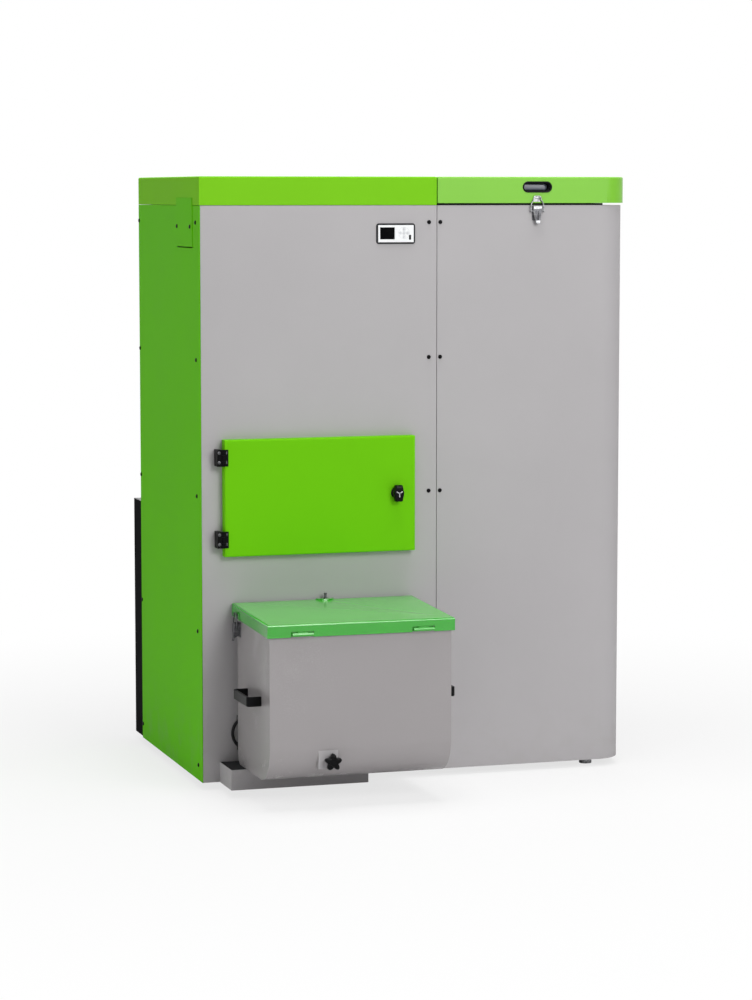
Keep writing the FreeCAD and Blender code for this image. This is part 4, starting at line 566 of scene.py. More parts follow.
class Shape:
    """Mesh being made, in metres of the row frame."""

    def __init__(self) -> None:
        """Start empty."""
        self.bm = bmesh.new()

    def loft(self, rings: Sequence[Sequence[Vector]], start: bool = True, end: bool = True) -> "Shape":
        """Skin over rings of equal count.

        Args:
            rings: Closed rings in order.
            start: Close the first ring with a face.
            end: Close the last ring with a face.

        Returns:
            This shape.
        """
        rows = [[self.bm.verts.new(point) for point in ring] for ring in rings]
        for near, far in zip(rows, rows[1:]):
            for index in range(len(near)):
                after = (index + 1) % len(near)
                self.bm.faces.new((near[index], near[after], far[after], far[index]))
        if start:
            self.bm.faces.new(rows[0][::-1])
        if end:
            self.bm.faces.new(rows[-1])
        return self

    def turned(self, seat: Seat, profile: Sequence[Span], sides: int = 28,
               closed: bool = True) -> "Shape":
        """Round form about a seat's outward axis, through (radius, depth) stations."""
        rings = [round_ring(seat, radius, depth, sides) for radius, depth in profile]
        return self.loft(rings, closed, closed)

    def framed(self, seat: Seat, across: Span, up: Span, corner: float, profile: Sequence[Span],
               steps: int = 6, closed: bool = True) -> "Shape":
        """Rectangle with round corners, drawn in through (inset, depth) stations."""
        rings = [card_ring(seat, (across[0] + inset, across[1] - inset), (up[0] + inset, up[1] - inset),
                           max(LEAST_CORNER, corner - inset), depth, steps)
                 for inset, depth in profile]
        return self.loft(rings, closed, closed)

    def prism(self, seat: Seat, outline: Sequence[Span], x: Span) -> "Shape":
        """Outline of (out, up) points drawn across a span."""
        return self.loft([[seat(place, y, z) for y, z in outline] for place in x])

    def pin(self, seat: Seat, centre: Span, radius: float, x: Span, dome: float = 0.3) -> "Shape":
        """Round pin across the seat at (out, up), with domed ends.

        Args:
            seat: Local frame.
            centre: Axis, as (out, up) in millimetres.
            radius: Radius in millimetres.
            x: Ends across.
            dome: Length of the domed ends.

        Returns:
            This shape.
        """
        stations = ((x[0], 0.6), (x[0] + dome, 1.0), (x[1] - dome, 1.0), (x[1], 0.6))
        turns = [math.pi * index / 10 for index in range(20)]
        return self.loft([[seat(place, centre[0] + radius * share * math.cos(turn),
                                centre[1] + radius * share * math.sin(turn)) for turn in turns]
                          for place, share in stations])

    def wire(self, points: Sequence[Vector], radius: float, sides: int = 5) -> "Shape":
        """Bent wire of a radius in millimetres along a smooth line through control points.

        Args:
            points: Control points.
            radius: Radius in millimetres.
            sides: Fineness of the round.

        Returns:
            This shape.
        """
        curve = bpy.data.curves.new("Wire", "CURVE")
        curve.dimensions = "3D"
        curve.bevel_depth = radius * MM
        curve.bevel_resolution = sides
        curve.resolution_u = 8
        curve.use_fill_caps = True
        spline = curve.splines.new("NURBS")
        spline.points.add(len(points) - 1)
        for target, point in zip(spline.points, points):
            target.co = (*point, 1.0)
        spline.order_u = 3
        spline.use_endpoint_u = True
        carrier = bpy.data.objects.new("Wire", curve)
        mesh = bpy.data.meshes.new_from_object(carrier)
        self.bm.from_mesh(mesh)
        bpy.data.objects.remove(carrier)
        bpy.data.meshes.remove(mesh)
        bpy.data.curves.remove(curve)
        return self

    def soften(self, width: float, segments: int = 2, angle: float = 30.0, least: float = 0.0,
               above: float = -1.0) -> "Shape":
        """Round the sharp edges.

        Args:
            width: Size of the rounding in millimetres.
            segments: Faces across it.
            angle: Smallest turn in degrees that counts as sharp.
            least: Edges shorter than this many millimetres stay as they are.
            above: Height in metres that both ends of an edge must pass.

        Returns:
            This shape.
        """
        sharp = [edge for edge in self.bm.edges if len(edge.link_faces) == 2
                 and edge.calc_face_angle(0.0) > math.radians(angle)
                 and edge.calc_length() > least * MM
                 and min(vert.co.z for vert in edge.verts) > above]
        bmesh.ops.bevel(self.bm, geom=sharp, offset=width * MM, offset_type="OFFSET",
                        segments=segments, profile=0.5, affect="EDGES", clamp_overlap=True,
                        miter_outer="ARC")
        return self

    def mesh(self, name: str, flat: float = 32.0, outward: bool = True) -> bpy.types.Mesh:
        """Finished mesh with smooth faces between edges sharper than an angle.

        Args:
            name: Name of the mesh.
            flat: Smallest turn in degrees that stays sharp.
            outward: Turn all faces outwards first.

        Returns:
            The mesh; this shape is used up.
        """
        bmesh.ops.remove_doubles(self.bm, verts=self.bm.verts, dist=1e-7)
        if outward:
            bmesh.ops.recalc_face_normals(self.bm, faces=self.bm.faces)
        for face in self.bm.faces:
            face.smooth = True
        mesh = bpy.data.meshes.new(name)
        self.bm.to_mesh(mesh)
        self.bm.free()
        mesh.set_sharp_from_angle(angle=math.radians(flat))
        return mesh


def show(name: str, mesh: bpy.types.Mesh, paint: Paint, body: str,
         nodes: Sequence[str] = ()) -> bpy.types.Object:
    """Put a finished mesh into the scene.

    Args:
        name: Name of the piece.
        mesh: Its mesh, in place.
        paint: Its finish.
        body: Body that it rides on.
        nodes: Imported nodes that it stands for.

    Returns:
        The object.
    """
    piece = bpy.data.objects.new(name, mesh)
    bpy.context.scene.collection.objects.link(piece)
    mesh.materials.clear()
    mesh.materials.append(paint.value.material())
    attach(piece, body)
    if nodes:
        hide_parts(*nodes)
    log.info("%s rides on %s, %d faces", name, body, len(mesh.polygons))
    return piece


def stand_in(node: str, shape: Shape, paint: Paint, name: str = "") -> bpy.types.Object:
    """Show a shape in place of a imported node."""
    label = name or f"{node}_shown"
    return show(label, shape.mesh(label), paint, BODY_OF[node], (node,))


def fitted(name: str, shape: Shape, paint: Paint, node: str) -> bpy.types.Object:
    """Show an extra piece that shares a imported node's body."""
    return show(name, shape.mesh(name), paint, BODY_OF[node])


def evened(mesh: bpy.types.Mesh) -> bpy.types.Mesh:
    """Copy of a mesh whose normals lean to its large faces, so flats stay flat beside roundings.

    Args:
        mesh: Mesh, which is removed.

    Returns:
        The copy.
    """
    carrier = bpy.data.objects.new("Normals", mesh)
    bpy.context.scene.collection.objects.link(carrier)
    leaning = carrier.modifiers.new("Normals", "WEIGHTED_NORMAL")
    leaning.keep_sharp = True
    graph = bpy.context.evaluated_depsgraph_get()
    result = bpy.data.meshes.new_from_object(carrier.evaluated_get(graph), depsgraph=graph)
    bpy.data.objects.remove(carrier)
    bpy.data.meshes.remove(mesh)
    return result


def drop_layer(mesh: bpy.types.Mesh, name: str) -> None:
    """Take an attribute off a mesh that has it."""
    layer = mesh.attributes.get(name)
    if layer:
        mesh.attributes.remove(layer)


def welded(node: str) -> Shape:
    """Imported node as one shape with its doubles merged.

    Args:
        node: Name of the node.

    Returns:
        The shape.
    """
    shape = Shape()
    shape.bm.from_mesh(NODES[node].data)
    bmesh.ops.remove_doubles(shape.bm, verts=shape.bm.verts, dist=WELD)
    return shape


def dressed(node: str, paint: Paint, width: float = 0.0, segments: int = 2, least: float = 0.0,
            crown: float = 0.0) -> bpy.types.Object:
    """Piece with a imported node's form, its flat faces joined and its edges slightly rounded.

    Args:
        node: Node that it stands for.
        paint: Its finish.
        width: Size of the rounding in millimetres.
        segments: Faces across the rounding.
        least: Shorter edges than this many millimetres stay sharp.
        crown: Size of a wider rounding along the topmost edges, in millimetres.

    Returns:
        The object.
    """
    shape = welded(node)
    bmesh.ops.dissolve_limit(shape.bm, angle_limit=math.radians(FLAT_TURN), verts=shape.bm.verts,
                             edges=shape.bm.edges)
    if crown:
        shape.soften(crown, 4, above=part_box(node)[1].z - TOP_BAND * MM)
    if width:
        shape.soften(width, segments, least=least)
    label = f"{node}_shown"
    mesh = shape.mesh(label, outward=False)
    drop_layer(mesh, "custom_normal")
    return show(label, evened(mesh), paint, BODY_OF[node], (node,))


def repaint(piece: bpy.types.Object, paint: Paint,
            chosen: Callable[[bpy.types.MeshPolygon], bool]) -> None:
    """Give chosen faces of a piece a second finish."""
    piece.data.materials.append(paint.value.material())
    for face in piece.data.polygons:
        face.material_index = int(chosen(face))


def paint_light_by_facing(piece: bpy.types.Object, paint: Paint, facing: Vector = UP) -> None:
    """Give the faces of a piece that look straight along a direction a second finish, which stands for
    painted light or shade there.
    """
    repaint(piece, paint, lambda face: face.normal.dot(facing) > 0.99)


def painted(paint: Paint, *nodes: str) -> None:
    """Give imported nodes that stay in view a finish."""
    for node in nodes:
        for slot in NODES[node].material_slots:
            slot.material = paint.value.material()
        log.info("%s keeps its solid", node)


class Field:
    """Repeated pieces set out by a Geometry Nodes tree over points that carry a facing."""

    def __init__(self, name: str) -> None:
        """Start the tree with its geometry sockets.

        Args:
            name: Name of the tree.
        """
        self.tree = bpy.data.node_groups.new(name, "GeometryNodeTree")
        self.graph = Graph(self.tree)
        self.inputs: dict[str, str] = {}
        self.tree.interface.new_socket("Points", in_out="INPUT", socket_type="NodeSocketGeometry")
        self.tree.interface.new_socket("Pieces", in_out="OUTPUT", socket_type="NodeSocketGeometry")
        kinds = {size: "NodeSocketFloat" for size in self.size_names()} | {"Finish": "NodeSocketMaterial"}
        for label, kind in kinds.items():
            made = self.tree.interface.new_socket(label, in_out="INPUT", socket_type=kind)
            self.inputs[label] = made.identifier
        source = self.graph.node("NodeGroupInput")
        shape = self.pattern(source)
        facing = self.graph.node("GeometryNodeInputNamedAttribute", {"data_type": "FLOAT_VECTOR"},
                                 {"Name": "facing"})
        turned = self.graph.node("FunctionNodeAlignRotationToVector", {"axis": "Z", "pivot_axis": "AUTO"},
                                 {"Vector": facing})
        placed = self.graph.node("GeometryNodeInstanceOnPoints", sockets={
            "Points": source, "Instance": shape, "Rotation": turned})
        real = self.graph.node("GeometryNodeRealizeInstances", sockets={0: placed})
        done = self.graph.node("GeometryNodeSetMaterial", sockets={
            "Geometry": real, "Material": source.other("Finish")})
        self.graph.node("NodeGroupOutput", sockets={"Pieces": done})

    def size_names(self) -> tuple[str, ...]:
        """Names of the tree's sizes."""
        raise NotImplementedError

    def pattern(self, source: Sock) -> Sock:
        """Geometry of one piece, with its foot at the origin and Z out."""
        raise NotImplementedError

    def lay(self, name: str, points: Sequence[tuple[Vector, Vector]], sizes: Sequence[float],
            paint: Paint, node: str, stands: bool = False) -> bpy.types.Object:
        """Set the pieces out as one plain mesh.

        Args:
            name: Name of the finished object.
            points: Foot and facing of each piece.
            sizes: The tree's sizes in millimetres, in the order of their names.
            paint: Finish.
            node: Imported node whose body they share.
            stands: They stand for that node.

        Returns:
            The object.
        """
        cloud = bpy.data.meshes.new(name)
        cloud.from_pydata([foot for foot, _ in points], [], [])
        facing = cloud.attributes.new("facing", "FLOAT_VECTOR", "POINT")
        for item, (_, way) in zip(facing.data, points):
            item.vector = way
        carrier = bpy.data.objects.new(name, cloud)
        bpy.context.scene.collection.objects.link(carrier)
        layout = carrier.modifiers.new("Layout", "NODES")
        layout.node_group = self.tree
        for size, value in zip(self.size_names(), sizes):
            layout[self.inputs[size]] = value * MM
        layout[self.inputs["Finish"]] = paint.value.material()
        depsgraph = bpy.context.evaluated_depsgraph_get()
        mesh = bpy.data.meshes.new_from_object(carrier.evaluated_get(depsgraph), depsgraph=depsgraph)
        bpy.data.objects.remove(carrier)
        bpy.data.meshes.remove(cloud)
        drop_layer(mesh, "facing")
        mesh.shade_smooth()
        mesh.set_sharp_from_angle(angle=math.radians(34.0))
        return show(name, mesh, paint, BODY_OF[node], (node,) if stands else ())


class ScrewField(Field):
    """Button-head screws with a hexagon socket."""

    def size_names(self) -> tuple[str, ...]:
        """Names of the tree's sizes."""
        return "Head radius", "Head rise", "Socket radius", "Socket depth"

    def pattern(self, source: Sock) -> Sock:
        """Domed head drawn up in steps, closed below, with the socket cut out.

        Args:
            source: Inputs of the tree.

        Returns:
            The head.
        """
        graph = self.graph
        radius, rise = source.other("Head radius"), source.other("Head rise")
        disc = graph.node("GeometryNodeMeshCircle", {"fill_type": "NGON"}, {"Vertices": 28, "Radius": radius})
        foot = graph.node("GeometryNodeFlipFaces", sockets={"Mesh": disc})
        grown = disc
        top: Sock | None = None
        for share, scale in ((0.3, 1.0), (0.3, 0.93), (0.24, 0.85), (0.16, 0.8)):
            links = {"Mesh": grown, "Offset Scale": rise * share, "Individual": False}
            if top:
                links["Selection"] = top
            step = graph.node("GeometryNodeExtrudeMesh", sockets=links, output="Mesh")
            top = step.other("Top")
            grown = graph.node("GeometryNodeScaleElements", sockets={
                "Geometry": step, "Selection": top, "Scale": scale})
        both = graph.node("GeometryNodeJoinGeometry", sockets={"Geometry": [foot, grown]})
        closed = graph.node("GeometryNodeMergeByDistance", sockets={"Geometry": both, "Distance": 1e-6})
        key = graph.node("GeometryNodeMeshCylinder", {"fill_type": "NGON"}, {
            "Vertices": 6, "Radius": source.other("Socket radius"),
            "Depth": source.other("Socket depth") * 2.0})
        lifted = graph.node("GeometryNodeTransform", sockets={
            "Geometry": key, "Translation": graph.node("ShaderNodeCombineXYZ", sockets={"Z": rise})})
        return graph.node("GeometryNodeMeshBoolean", {"operation": "DIFFERENCE", "solver": "EXACT"},
                          {"Mesh 1": closed, "Mesh 2": lifted})


class LouvreField(Field):
    """Slats bent out over the vents of a sheet."""

    def size_names(self) -> tuple[str, ...]:
        """Names of the tree's sizes."""
        return "Length", "Drop", "Reach", "Gauge"

    def pattern(self, source: Sock) -> Sock:
        """Sloping slat: its top edge on the sheet, its lower edge held out.

        Args:
            source: Inputs of the tree.

        Returns:
            The slat.
        """
        graph = self.graph
        reach, drop, gauge = (source.other(name) for name in ("Reach", "Drop", "Gauge"))
        corners = {"Point 1": (0.0, 0.0), "Point 2": (reach, drop * -1.0),
                   "Point 3": (reach, drop * -1.0 - gauge), "Point 4": (0.0, gauge * -1.0)}
        outline = graph.node("GeometryNodeCurvePrimitiveQuadrilateral", {"mode": "POINTS"}, {
            name: graph.node("ShaderNodeCombineXYZ", sockets={"X": across, "Y": along})
            for name, (across, along) in corners.items()})
        half = source.other("Length") * 0.5
        rail = graph.node("GeometryNodeCurvePrimitiveLine", sockets={
            "Start": graph.node("ShaderNodeCombineXYZ", sockets={"X": half * -1.0}),
            "End": graph.node("ShaderNodeCombineXYZ", sockets={"X": half})})
        return graph.node("GeometryNodeCurveToMesh", sockets={
            "Curve": rail, "Profile Curve": outline, "Fill Caps": True})


@dataclass
class Cabinet:
    """Painted sheets of the cabinet and its screws."""
    screws: ScrewField
    fold: float = 0.7
    front_fold: float = 1.2
    strap_fold: float = 0.25
    foot_fold: float = 0.8
    short_edge: float = 6.0
    crown: float = 2.0
    screw_radius: float = 4.8
    screw_rise: float = 2.4
    socket_radius: float = 1.9
    socket_depth: float = 1.3
    shank_radius: float = 3.0

    def build(self) -> None:
        """Dress the sheets and drive the screws."""
        # The left side and its strap take the green copy with painted side shade.
        dressed("left_side_panel", Paint.SHADED_SIDE_GREEN, self.fold, least=self.short_edge)
        dressed("cover_strap", Paint.SHADED_SIDE_GREEN, self.strap_fold, least=self.short_edge)
        # The top cover takes the green copy with painted top sheen.
        dressed("top_cover", Paint.SHEEN_COVER_GREEN, self.fold, least=self.short_edge, crown=self.crown)
        dressed("front_panel", Paint.GREY, self.front_fold, least=self.short_edge)
        for node in ("hopper_wrap_panel", "rear_panel"):
            dressed(node, Paint.GREY, self.fold, least=self.short_edge)
        painted(Paint.BLACK, "base_frame")
        dressed("levelling_feet", Paint.ZINC, self.foot_fold)
        sizes = self.screw_radius, self.screw_rise, self.socket_radius, self.socket_depth
        self.screws.lay("panel_screw_heads", self.screw_points(), sizes, Paint.BLACK_STEEL,
                        "panel_screws", True)

    def screw_points(self) -> list[tuple[Vector, Vector]]:
        """Seat and facing of every panel screw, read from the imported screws.

        Returns:
            Foot and facing of each screw, in order of place.
        """
        shape = welded("panel_screws")
        waiting = set(shape.bm.verts)
        found = []
        while waiting:
            island, edge = [], [waiting.pop()]
            while edge:
                vert = edge.pop()
                island.append(vert.co.copy())
                for link in vert.link_edges:
                    other = link.other_vert(vert)
                    if other in waiting:
                        waiting.remove(other)
                        edge.append(other)
            found.append(self.screw_of(island))
        shape.bm.free()
        return sorted(found, key=lambda item: tuple(item[0]))

    def screw_of(self, points: Sequence[Vector]) -> tuple[Vector, Vector]:
        """Seat and facing of one imported screw, from its corner points.

        Args:
            points: Corner points in metres.

        Returns:
            Foot of the head, and its facing.
        """
        low = Vector(min(point[axis] for point in points) for axis in range(3))
        high = Vector(max(point[axis] for point in points) for axis in range(3))
        size = high - low
        along = max(range(3), key=lambda axis: size[axis])
        centre = (low + high) / 2
        rim = [point for point in points if self.shank_radius * MM < max(
            abs(point[axis] - centre[axis]) for axis in range(3) if axis != along)]
        sign = 1.0 if sum(point[along] for point in rim) / len(rim) > centre[along] else -1.0
        facing = Vector((0.0, 0.0, 0.0))
        facing[along] = sign
        foot = centre.copy()
        foot[along] = (high if sign > 0 else low)[along] - sign * self.screw_rise * MM
        return foot, facing


@dataclass
class ToggleLatch:
    """Over-centre latch: pressed base, channel lever, bent wire bail and hooked keeper.

    The seat lies on the wall behind the pivot; out is the pivot's distance from the wall, and step
    the distance from the wall to the face of the lid.
    """
    seat: Seat
    out: float
    step: float
    lever_node: str
    bail_node: str
    paint: Paint
    throw: float = 9.0
    pin_radius: float = 1.5
    plate_span: Span = (-30.0, 4.0)
    plate_corner: float = 3.0
    plate: Profile = ((11.0, 0.0), (11.0, 1.1), (10.6, 1.5))
    rivet: Profile = ((2.6, 0.0), (2.5, 0.4), (1.7, 0.8), (0.6, 0.95))
    rivet_foot: float = 1.3
    rivet_rows: Span = (-22.0, -14.0)
    ear: Span = (7.0, 8.6)
    ear_radius: float = 2.8
    ear_foot: tuple[Span, Span] = ((0.6, -4.4), (0.6, 4.0))
    pin_end: float = 10.9
    lever_rise: float = 5.0
    lever_foot: float = 2.4
    lever_fold: float = 0.35
    lever_turn: float = 40.0
    flange: float = 1.4
    web: float = 1.7
    bend: float = 1.0
    nose: float = 0.9
    tab: float = 2.6
    tab_start: float = -30.0
    stub: Span = (9.6, 16.5)
    rib_span: Span = (-30.0, -8.0)
    rib_corner: float = 2.2
    painted_shade_span: Span = (-30.0, -3.5)
    # Rise span on the lever's outer face that takes the painted shade.
    wire: float = 1.5
    bail_foot: float = 15.4
    bail_bends: Profile = ((15.7, -2.0), (15.7, 5.0), (13.0, 12.0), (8.6, 18.0))
    bail_half: float = 8.0
    bail_rise: float = 25.6
    eye: Profile = ((2.5, 0.0), (3.0, 0.4), (3.0, 1.6), (2.5, 2.0))
    eye_reach: float = 14.5
    keeper_span: Span = (13.0, 24.0)
    hook_half: float = 6.4
    hook_centre: Span = (0.8, 2.1)
    hook_radii: Span = (1.3, 2.1)

    def base(self) -> Shape:
        """Plate on the wall with two ears and the pivot pins.

        Returns:
            The base.
        """
        shape = Shape().loft([card_ring(self.seat, (-half, half), self.plate_span, self.plate_corner, depth)
                              for half, depth in self.plate])
        arc = half_arc((self.out, 0.0), (self.ear_radius, self.ear_radius), 15)
        foot, top = self.ear_foot
        for side, row in zip((-1.0, 1.0), self.rivet_rows):
            shape.prism(self.seat, [foot, *arc, top], sided(*self.ear, side))
            shape.pin(self.seat, (self.out, 0.0), self.pin_radius, sided(self.ear[0], self.pin_end, side))
            shape.turned(replace(self.seat, origin=self.seat(0.0, self.rivet_foot, row)), self.rivet, 20)
        return shape

    def lever(self) -> Shape:
        """Channel that narrows to a lifted thumb tab, with the stubs that carry the bail.

        Returns:
            The lever.
        """
        rings = []
        for z, half, lift in ((2.6, 10.4, 0.0), (-3.0, 10.4, 0.0), (-10.5, 10.2, 0.0), (-15.0, 8.6, 0.0),
                              (-25.0, 7.0, 0.0), (-31.0, 5.8, 0.1), (-35.5, 5.2, 1.0), (-38.0, 4.8, 2.4)):
            skin = self.out + self.lever_rise + lift - (self.nose if z > 0.0 else 0.0)
            deep = self.lever_foot if z > self.tab_start else skin - self.tab
            inner, under, turn = half - self.flange, skin - self.web, skin - self.bend
            rings.append([self.seat(x, y, z) for x, y in (
                (-half, deep), (-half, turn), (self.bend - half, skin), (half - self.bend, skin),
                (half, turn), (half, deep), (inner, deep), (inner, under), (-inner, under), (-inner, deep))])
        shape = Shape().loft(rings)
        for side in (-1.0, 1.0):
            shape.pin(self.seat, (self.out, -self.throw), self.pin_radius, sided(*self.stub, side))
        low, high = self.rib_span
        return shape.loft([card_ring(self.seat, (-half, half), (low + inset, high - inset), self.rib_corner,
                                     self.out + depth)
                           for half, inset, depth in ((2.8, 0.0, 4.9), (2.5, 0.3, 5.4), (1.8, 1.0, 5.6))])

    def bail(self) -> Shape:
        """Wire that runs from eyes on the lever up round the keeper's hook.

        Returns:
            The bail.
        """
        half = [(self.bail_foot, -self.throw), *self.bail_bends, (self.bail_half, self.bail_rise),
                (0.0, self.bail_rise)]
        shape = Shape().wire([self.seat(x, self.out, z) for x, z in mirrored(half)], self.wire)
        for side in (-1.0, 1.0):
            shape.turned(Seat(self.seat(self.eye_reach * side, self.out, -self.throw), self.seat.out,
                              self.seat.across * side, self.seat.up), self.eye, 24)
        return shape

    def keeper(self) -> Shape:
        """Plate with a rolled hook, standing on the lid.

        Returns:
            The keeper.
        """
        low, high = self.keeper_span
        waisted = mirrored([(8.2, low), (8.6, low + 1.4), (6.4, low + 4.0), (6.4, low + 6.2),
                            (9.0, high - 3.0), (9.0, high - 0.6), (8.4, high)])
        shape = Shape().loft([[self.seat(x * share, self.step + depth, z) for x, z in waisted]
                              for share, depth in ((1.0, 0.0), (1.0, 0.7), (0.95, 1.05))])
        out, drop = self.hook_centre
        arc = half_arc((self.step + out, high - drop), self.hook_radii, 18)
        root = self.step + 0.2
        return shape.prism(self.seat, [(root, high - 4.0), *arc, (root, high)],
                           (-self.hook_half, self.hook_half))

    def moving(self) -> None:
        """Show the lever, with painted shade in darker plating on the middle of its outer face, and the bail
        on their own bodies.
        """
        channel = self.lever().soften(self.lever_fold, 2, self.lever_turn)
        repaint(stand_in(self.lever_node, channel, self.paint), Paint.DARK_ZINC, self.takes_painted_shade)
        stand_in(self.bail_node, self.bail(), self.paint)

    def takes_painted_shade(self, face: bpy.types.MeshPolygon) -> bool:
        """Whether a face of the lever looks out, between its pivot and its thumb tab, and takes the painted
        shade.
        """
        rise = (face.center - self.seat.origin).dot(self.seat.up) / MM
        return face.normal.dot(self.seat.out) > 0.9 and self.painted_shade_span[0] < rise < self.painted_shade_span[1]


@dataclass
class HopperLid:
    """Lid over the fuel hopper with its pull, latch, seal and hinges."""
    screws: ScrewField
    fold: float = 0.6
    short_edge: float = 6.0
    crown: float = 2.4
    pull_half: float = 36.5
    pull_radius: float = 13.0
    pull_proud: float = 1.5
    latch_out: float = 6.5
    latch_drop: float = 4.0
    lid_step: float = 2.5
    leaf_fold: float = 0.35
    leaf_edge: float = 1.5
    leaf_width: float = 60.0
    leaf_gauge: float = 2.0
    leaf_holes: Span = (0.22, 0.78)
    leaf_screw: tuple[float, ...] = (3.6, 1.2, 1.5, 0.8)

    def build(self) -> None:
        """Dress the lid and fit it out."""
        # The hopper lid's front takes the paler green as painted sheen; its top faces take the cover's copy
        # with painted top sheen.
        lid = dressed("hopper_lid", Paint.SHEEN_HOPPER_GREEN, self.fold, least=self.short_edge, crown=self.crown)
        paint_light_by_facing(lid, Paint.SHEEN_COVER_GREEN)
        painted(Paint.RUBBER, "lid_seal")
        self.pull()
        self.latch()
        self.hinges()

    def pull(self) -> None:
        """Oval pull: black rim with a rolled edge, and a smooth cup behind it."""
        centre = middle("lid_pull_cup")
        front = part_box("lid_pull_cup")[0].y
        seat = Seat(Vector((centre.x, front + self.pull_proud * MM, centre.z)))

        def oval(*profile: Span, closed: bool = False) -> Shape:
            """Oval form drawn in through (inset, depth) stations."""
            half, radius = self.pull_half, self.pull_radius
            return Shape().framed(seat, (-half, half), (-radius, radius), radius, profile, 10, closed)

        rim = oval((0.0, 0.0), (0.0, 0.6), (0.5, 1.25), (1.3, 1.5), (2.6, 1.35), (3.7, 0.5), (4.4, -1.2),
                   (4.6, -4.0), (4.6, -5.0), (2.6, -5.0), (2.6, 0.0), (0.0, 0.0))
        stand_in("lid_pull_cup", rim, Paint.BLACK_PLASTIC, "lid_pull_rim")
        walls = oval((4.6, -4.6), (4.8, -12.0), (5.4, -15.6), (6.4, -16.8), (6.4, -17.6), (2.7, -17.6),
                     (2.7, -4.6), (4.6, -4.6))
        fitted("lid_pull_walls", walls, Paint.BLACK_PLASTIC, "lid_pull_cup")
        # The cup's floor takes the lightened blue-grey as painted reflection.
        floor = oval((6.2, -18.2), (6.2, -17.2), (7.0, -16.6), (8.4, -16.4), closed=True)
        fitted("lid_pull_floor", floor, Paint.CUP_PAINTED_REFLECTION, "lid_pull_cup")

    def latch(self) -> None:
        """Toggle latch between the front sheet and the lid."""
        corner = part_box("lid_latch_base")[1]
        pivot = Vector((middle("lid_latch_base").x, corner.y, corner.z - self.latch_drop * MM))
        latch = ToggleLatch(Seat(pivot, LEFT), self.latch_out, self.lid_step, "lid_latch_lever",
                            "lid_latch_bail", Paint.ZINC)
        # The base plate takes the darker plating as painted shade beside the lever.
        stand_in("lid_latch_base", latch.base(), Paint.DARK_ZINC)
        stand_in("lid_latch_keeper", latch.keeper(), Paint.ZINC)
        latch.moving()

    def hinges(self) -> None:
        """Rear hinges with two screws in each leaf."""
        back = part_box("hopper_wrap_panel")[1].y + self.leaf_gauge * MM
        width = self.leaf_width * MM
        for node, share in (("lid_hinge_fixed_leaves", 0.35), ("lid_hinge_moving_leaves", 0.65)):
            dressed(node, Paint.ZINC, self.leaf_fold, least=self.leaf_edge)
            low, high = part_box(node)
            height = low.z + (high.z - low.z) * share
            points = [(Vector((start + width * place, back, height)), REAR)
                      for start in (low.x, high.x - width) for place in self.leaf_holes]
            self.screws.lay(f"{node}_screws", points, self.leaf_screw, Paint.BLACK_STEEL, node)


@dataclass
class ControlPanel:
    """Small display with a screen, a ring of keys and a card slot."""
    corner: float = 6.5
    plate_fold: float = 0.3
    plate_edge: float = 1.2
    screen_fold: float = 0.2
    key_crown: Profile = ((2.6, 0.45), (2.45, 0.2), (2.1, 0.12), (1.9, 0.3), (1.7, 0.12), (1.2, 0.04),
                          (0.5, 0.0))
    key_pitch: float = 8.6
    key_ring: float = 4.2
    pad_ring: float = 13.4
    bead: Profile = ((0.0, 0.0), (0.1, 0.22), (0.5, 0.22), (0.6, 0.0), (0.0, 0.0))
    slot_across: Span = (73.95, 78.95)
    slot_up: Span = (5.65, 16.55)
    slot_corner: float = 0.5

    def build(self) -> None:
        """Build bezel, plate, screen and keys."""
        low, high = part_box("display_bezel")
        width, proud, height = ((end - start) / MM for start, end in zip(low, high))
        profile = ((0.0, 0.0), (0.0, proud * 0.45), (0.5, proud * 0.8), (1.3, proud), (3.2, proud),
                   (3.8, proud - 0.25), (3.9, 0.9), (6.4, 0.9), (6.4, 0.0), (0.0, 0.0))
        seat = Seat(Vector((low.x, high.y, low.z)))
        bezel = Shape().framed(seat, (0.0, width), (0.0, height), self.corner, profile, 8, False)
        stand_in("display_bezel", bezel, Paint.BEZEL)
        dressed("display_plate", Paint.WHITE, self.plate_fold, least=self.plate_edge)
        dressed("display_screen", Paint.SCREEN, self.screen_fold)
        self.keypad()
        self.keypad_rings()
        self.slot_lining()

    def keypad(self) -> None:
        """Shallow domed keys, each with a fine groove round its crown."""
        for node in ("key_up", "key_down", "key_left", "key_right", "key_ok"):
            low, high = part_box(node)
            centre = middle(node)
            length = (high.y - low.y) / MM
            crown = [(radius, length - drop) for radius, drop in self.key_crown]
            seat = Seat(Vector((centre.x, high.y, centre.z)))
            stand_in(node, Shape().turned(seat, [(crown[0][0], 0.0), *crown], 36), Paint.KEY)

    def keypad_rings(self) -> None:
        """Thin raised rings round the keypad and round each key."""
        centre = middle("key_ok")
        seat = Seat(Vector((centre.x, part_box("display_plate")[0].y, centre.z)))
        pitch = self.key_pitch
        spots = ((0.0, 0.0), (pitch, 0.0), (-pitch, 0.0), (0.0, pitch), (0.0, -pitch))
        shape = Shape()
        for (across, up), reach in ((spots[0], self.pad_ring), *((spot, self.key_ring) for spot in spots)):
            profile = [(reach - inset, depth) for inset, depth in self.bead]
            shape.turned(Seat(seat(across, 0.0, up)), profile, 56, False)
        fitted("keypad_ring", shape, Paint.KEY, "display_plate")

    def slot_lining(self) -> None:
        """Dark lining in the card slot."""
        seat = Seat(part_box("display_plate")[0])
        (left, right), (low, high) = self.slot_across, self.slot_up
        rings = [card_ring(seat, (left + inset, right - inset), (low + inset, high - inset), self.slot_corner,
                           depth, 3)
                 for inset, depth in ((0.0, -1.15), (0.0, -0.15), (0.5, -0.15), (0.6, -1.0))]
        fitted("card_slot_lining", Shape().loft(rings), Paint.BLACK_PLASTIC, "display_bezel")


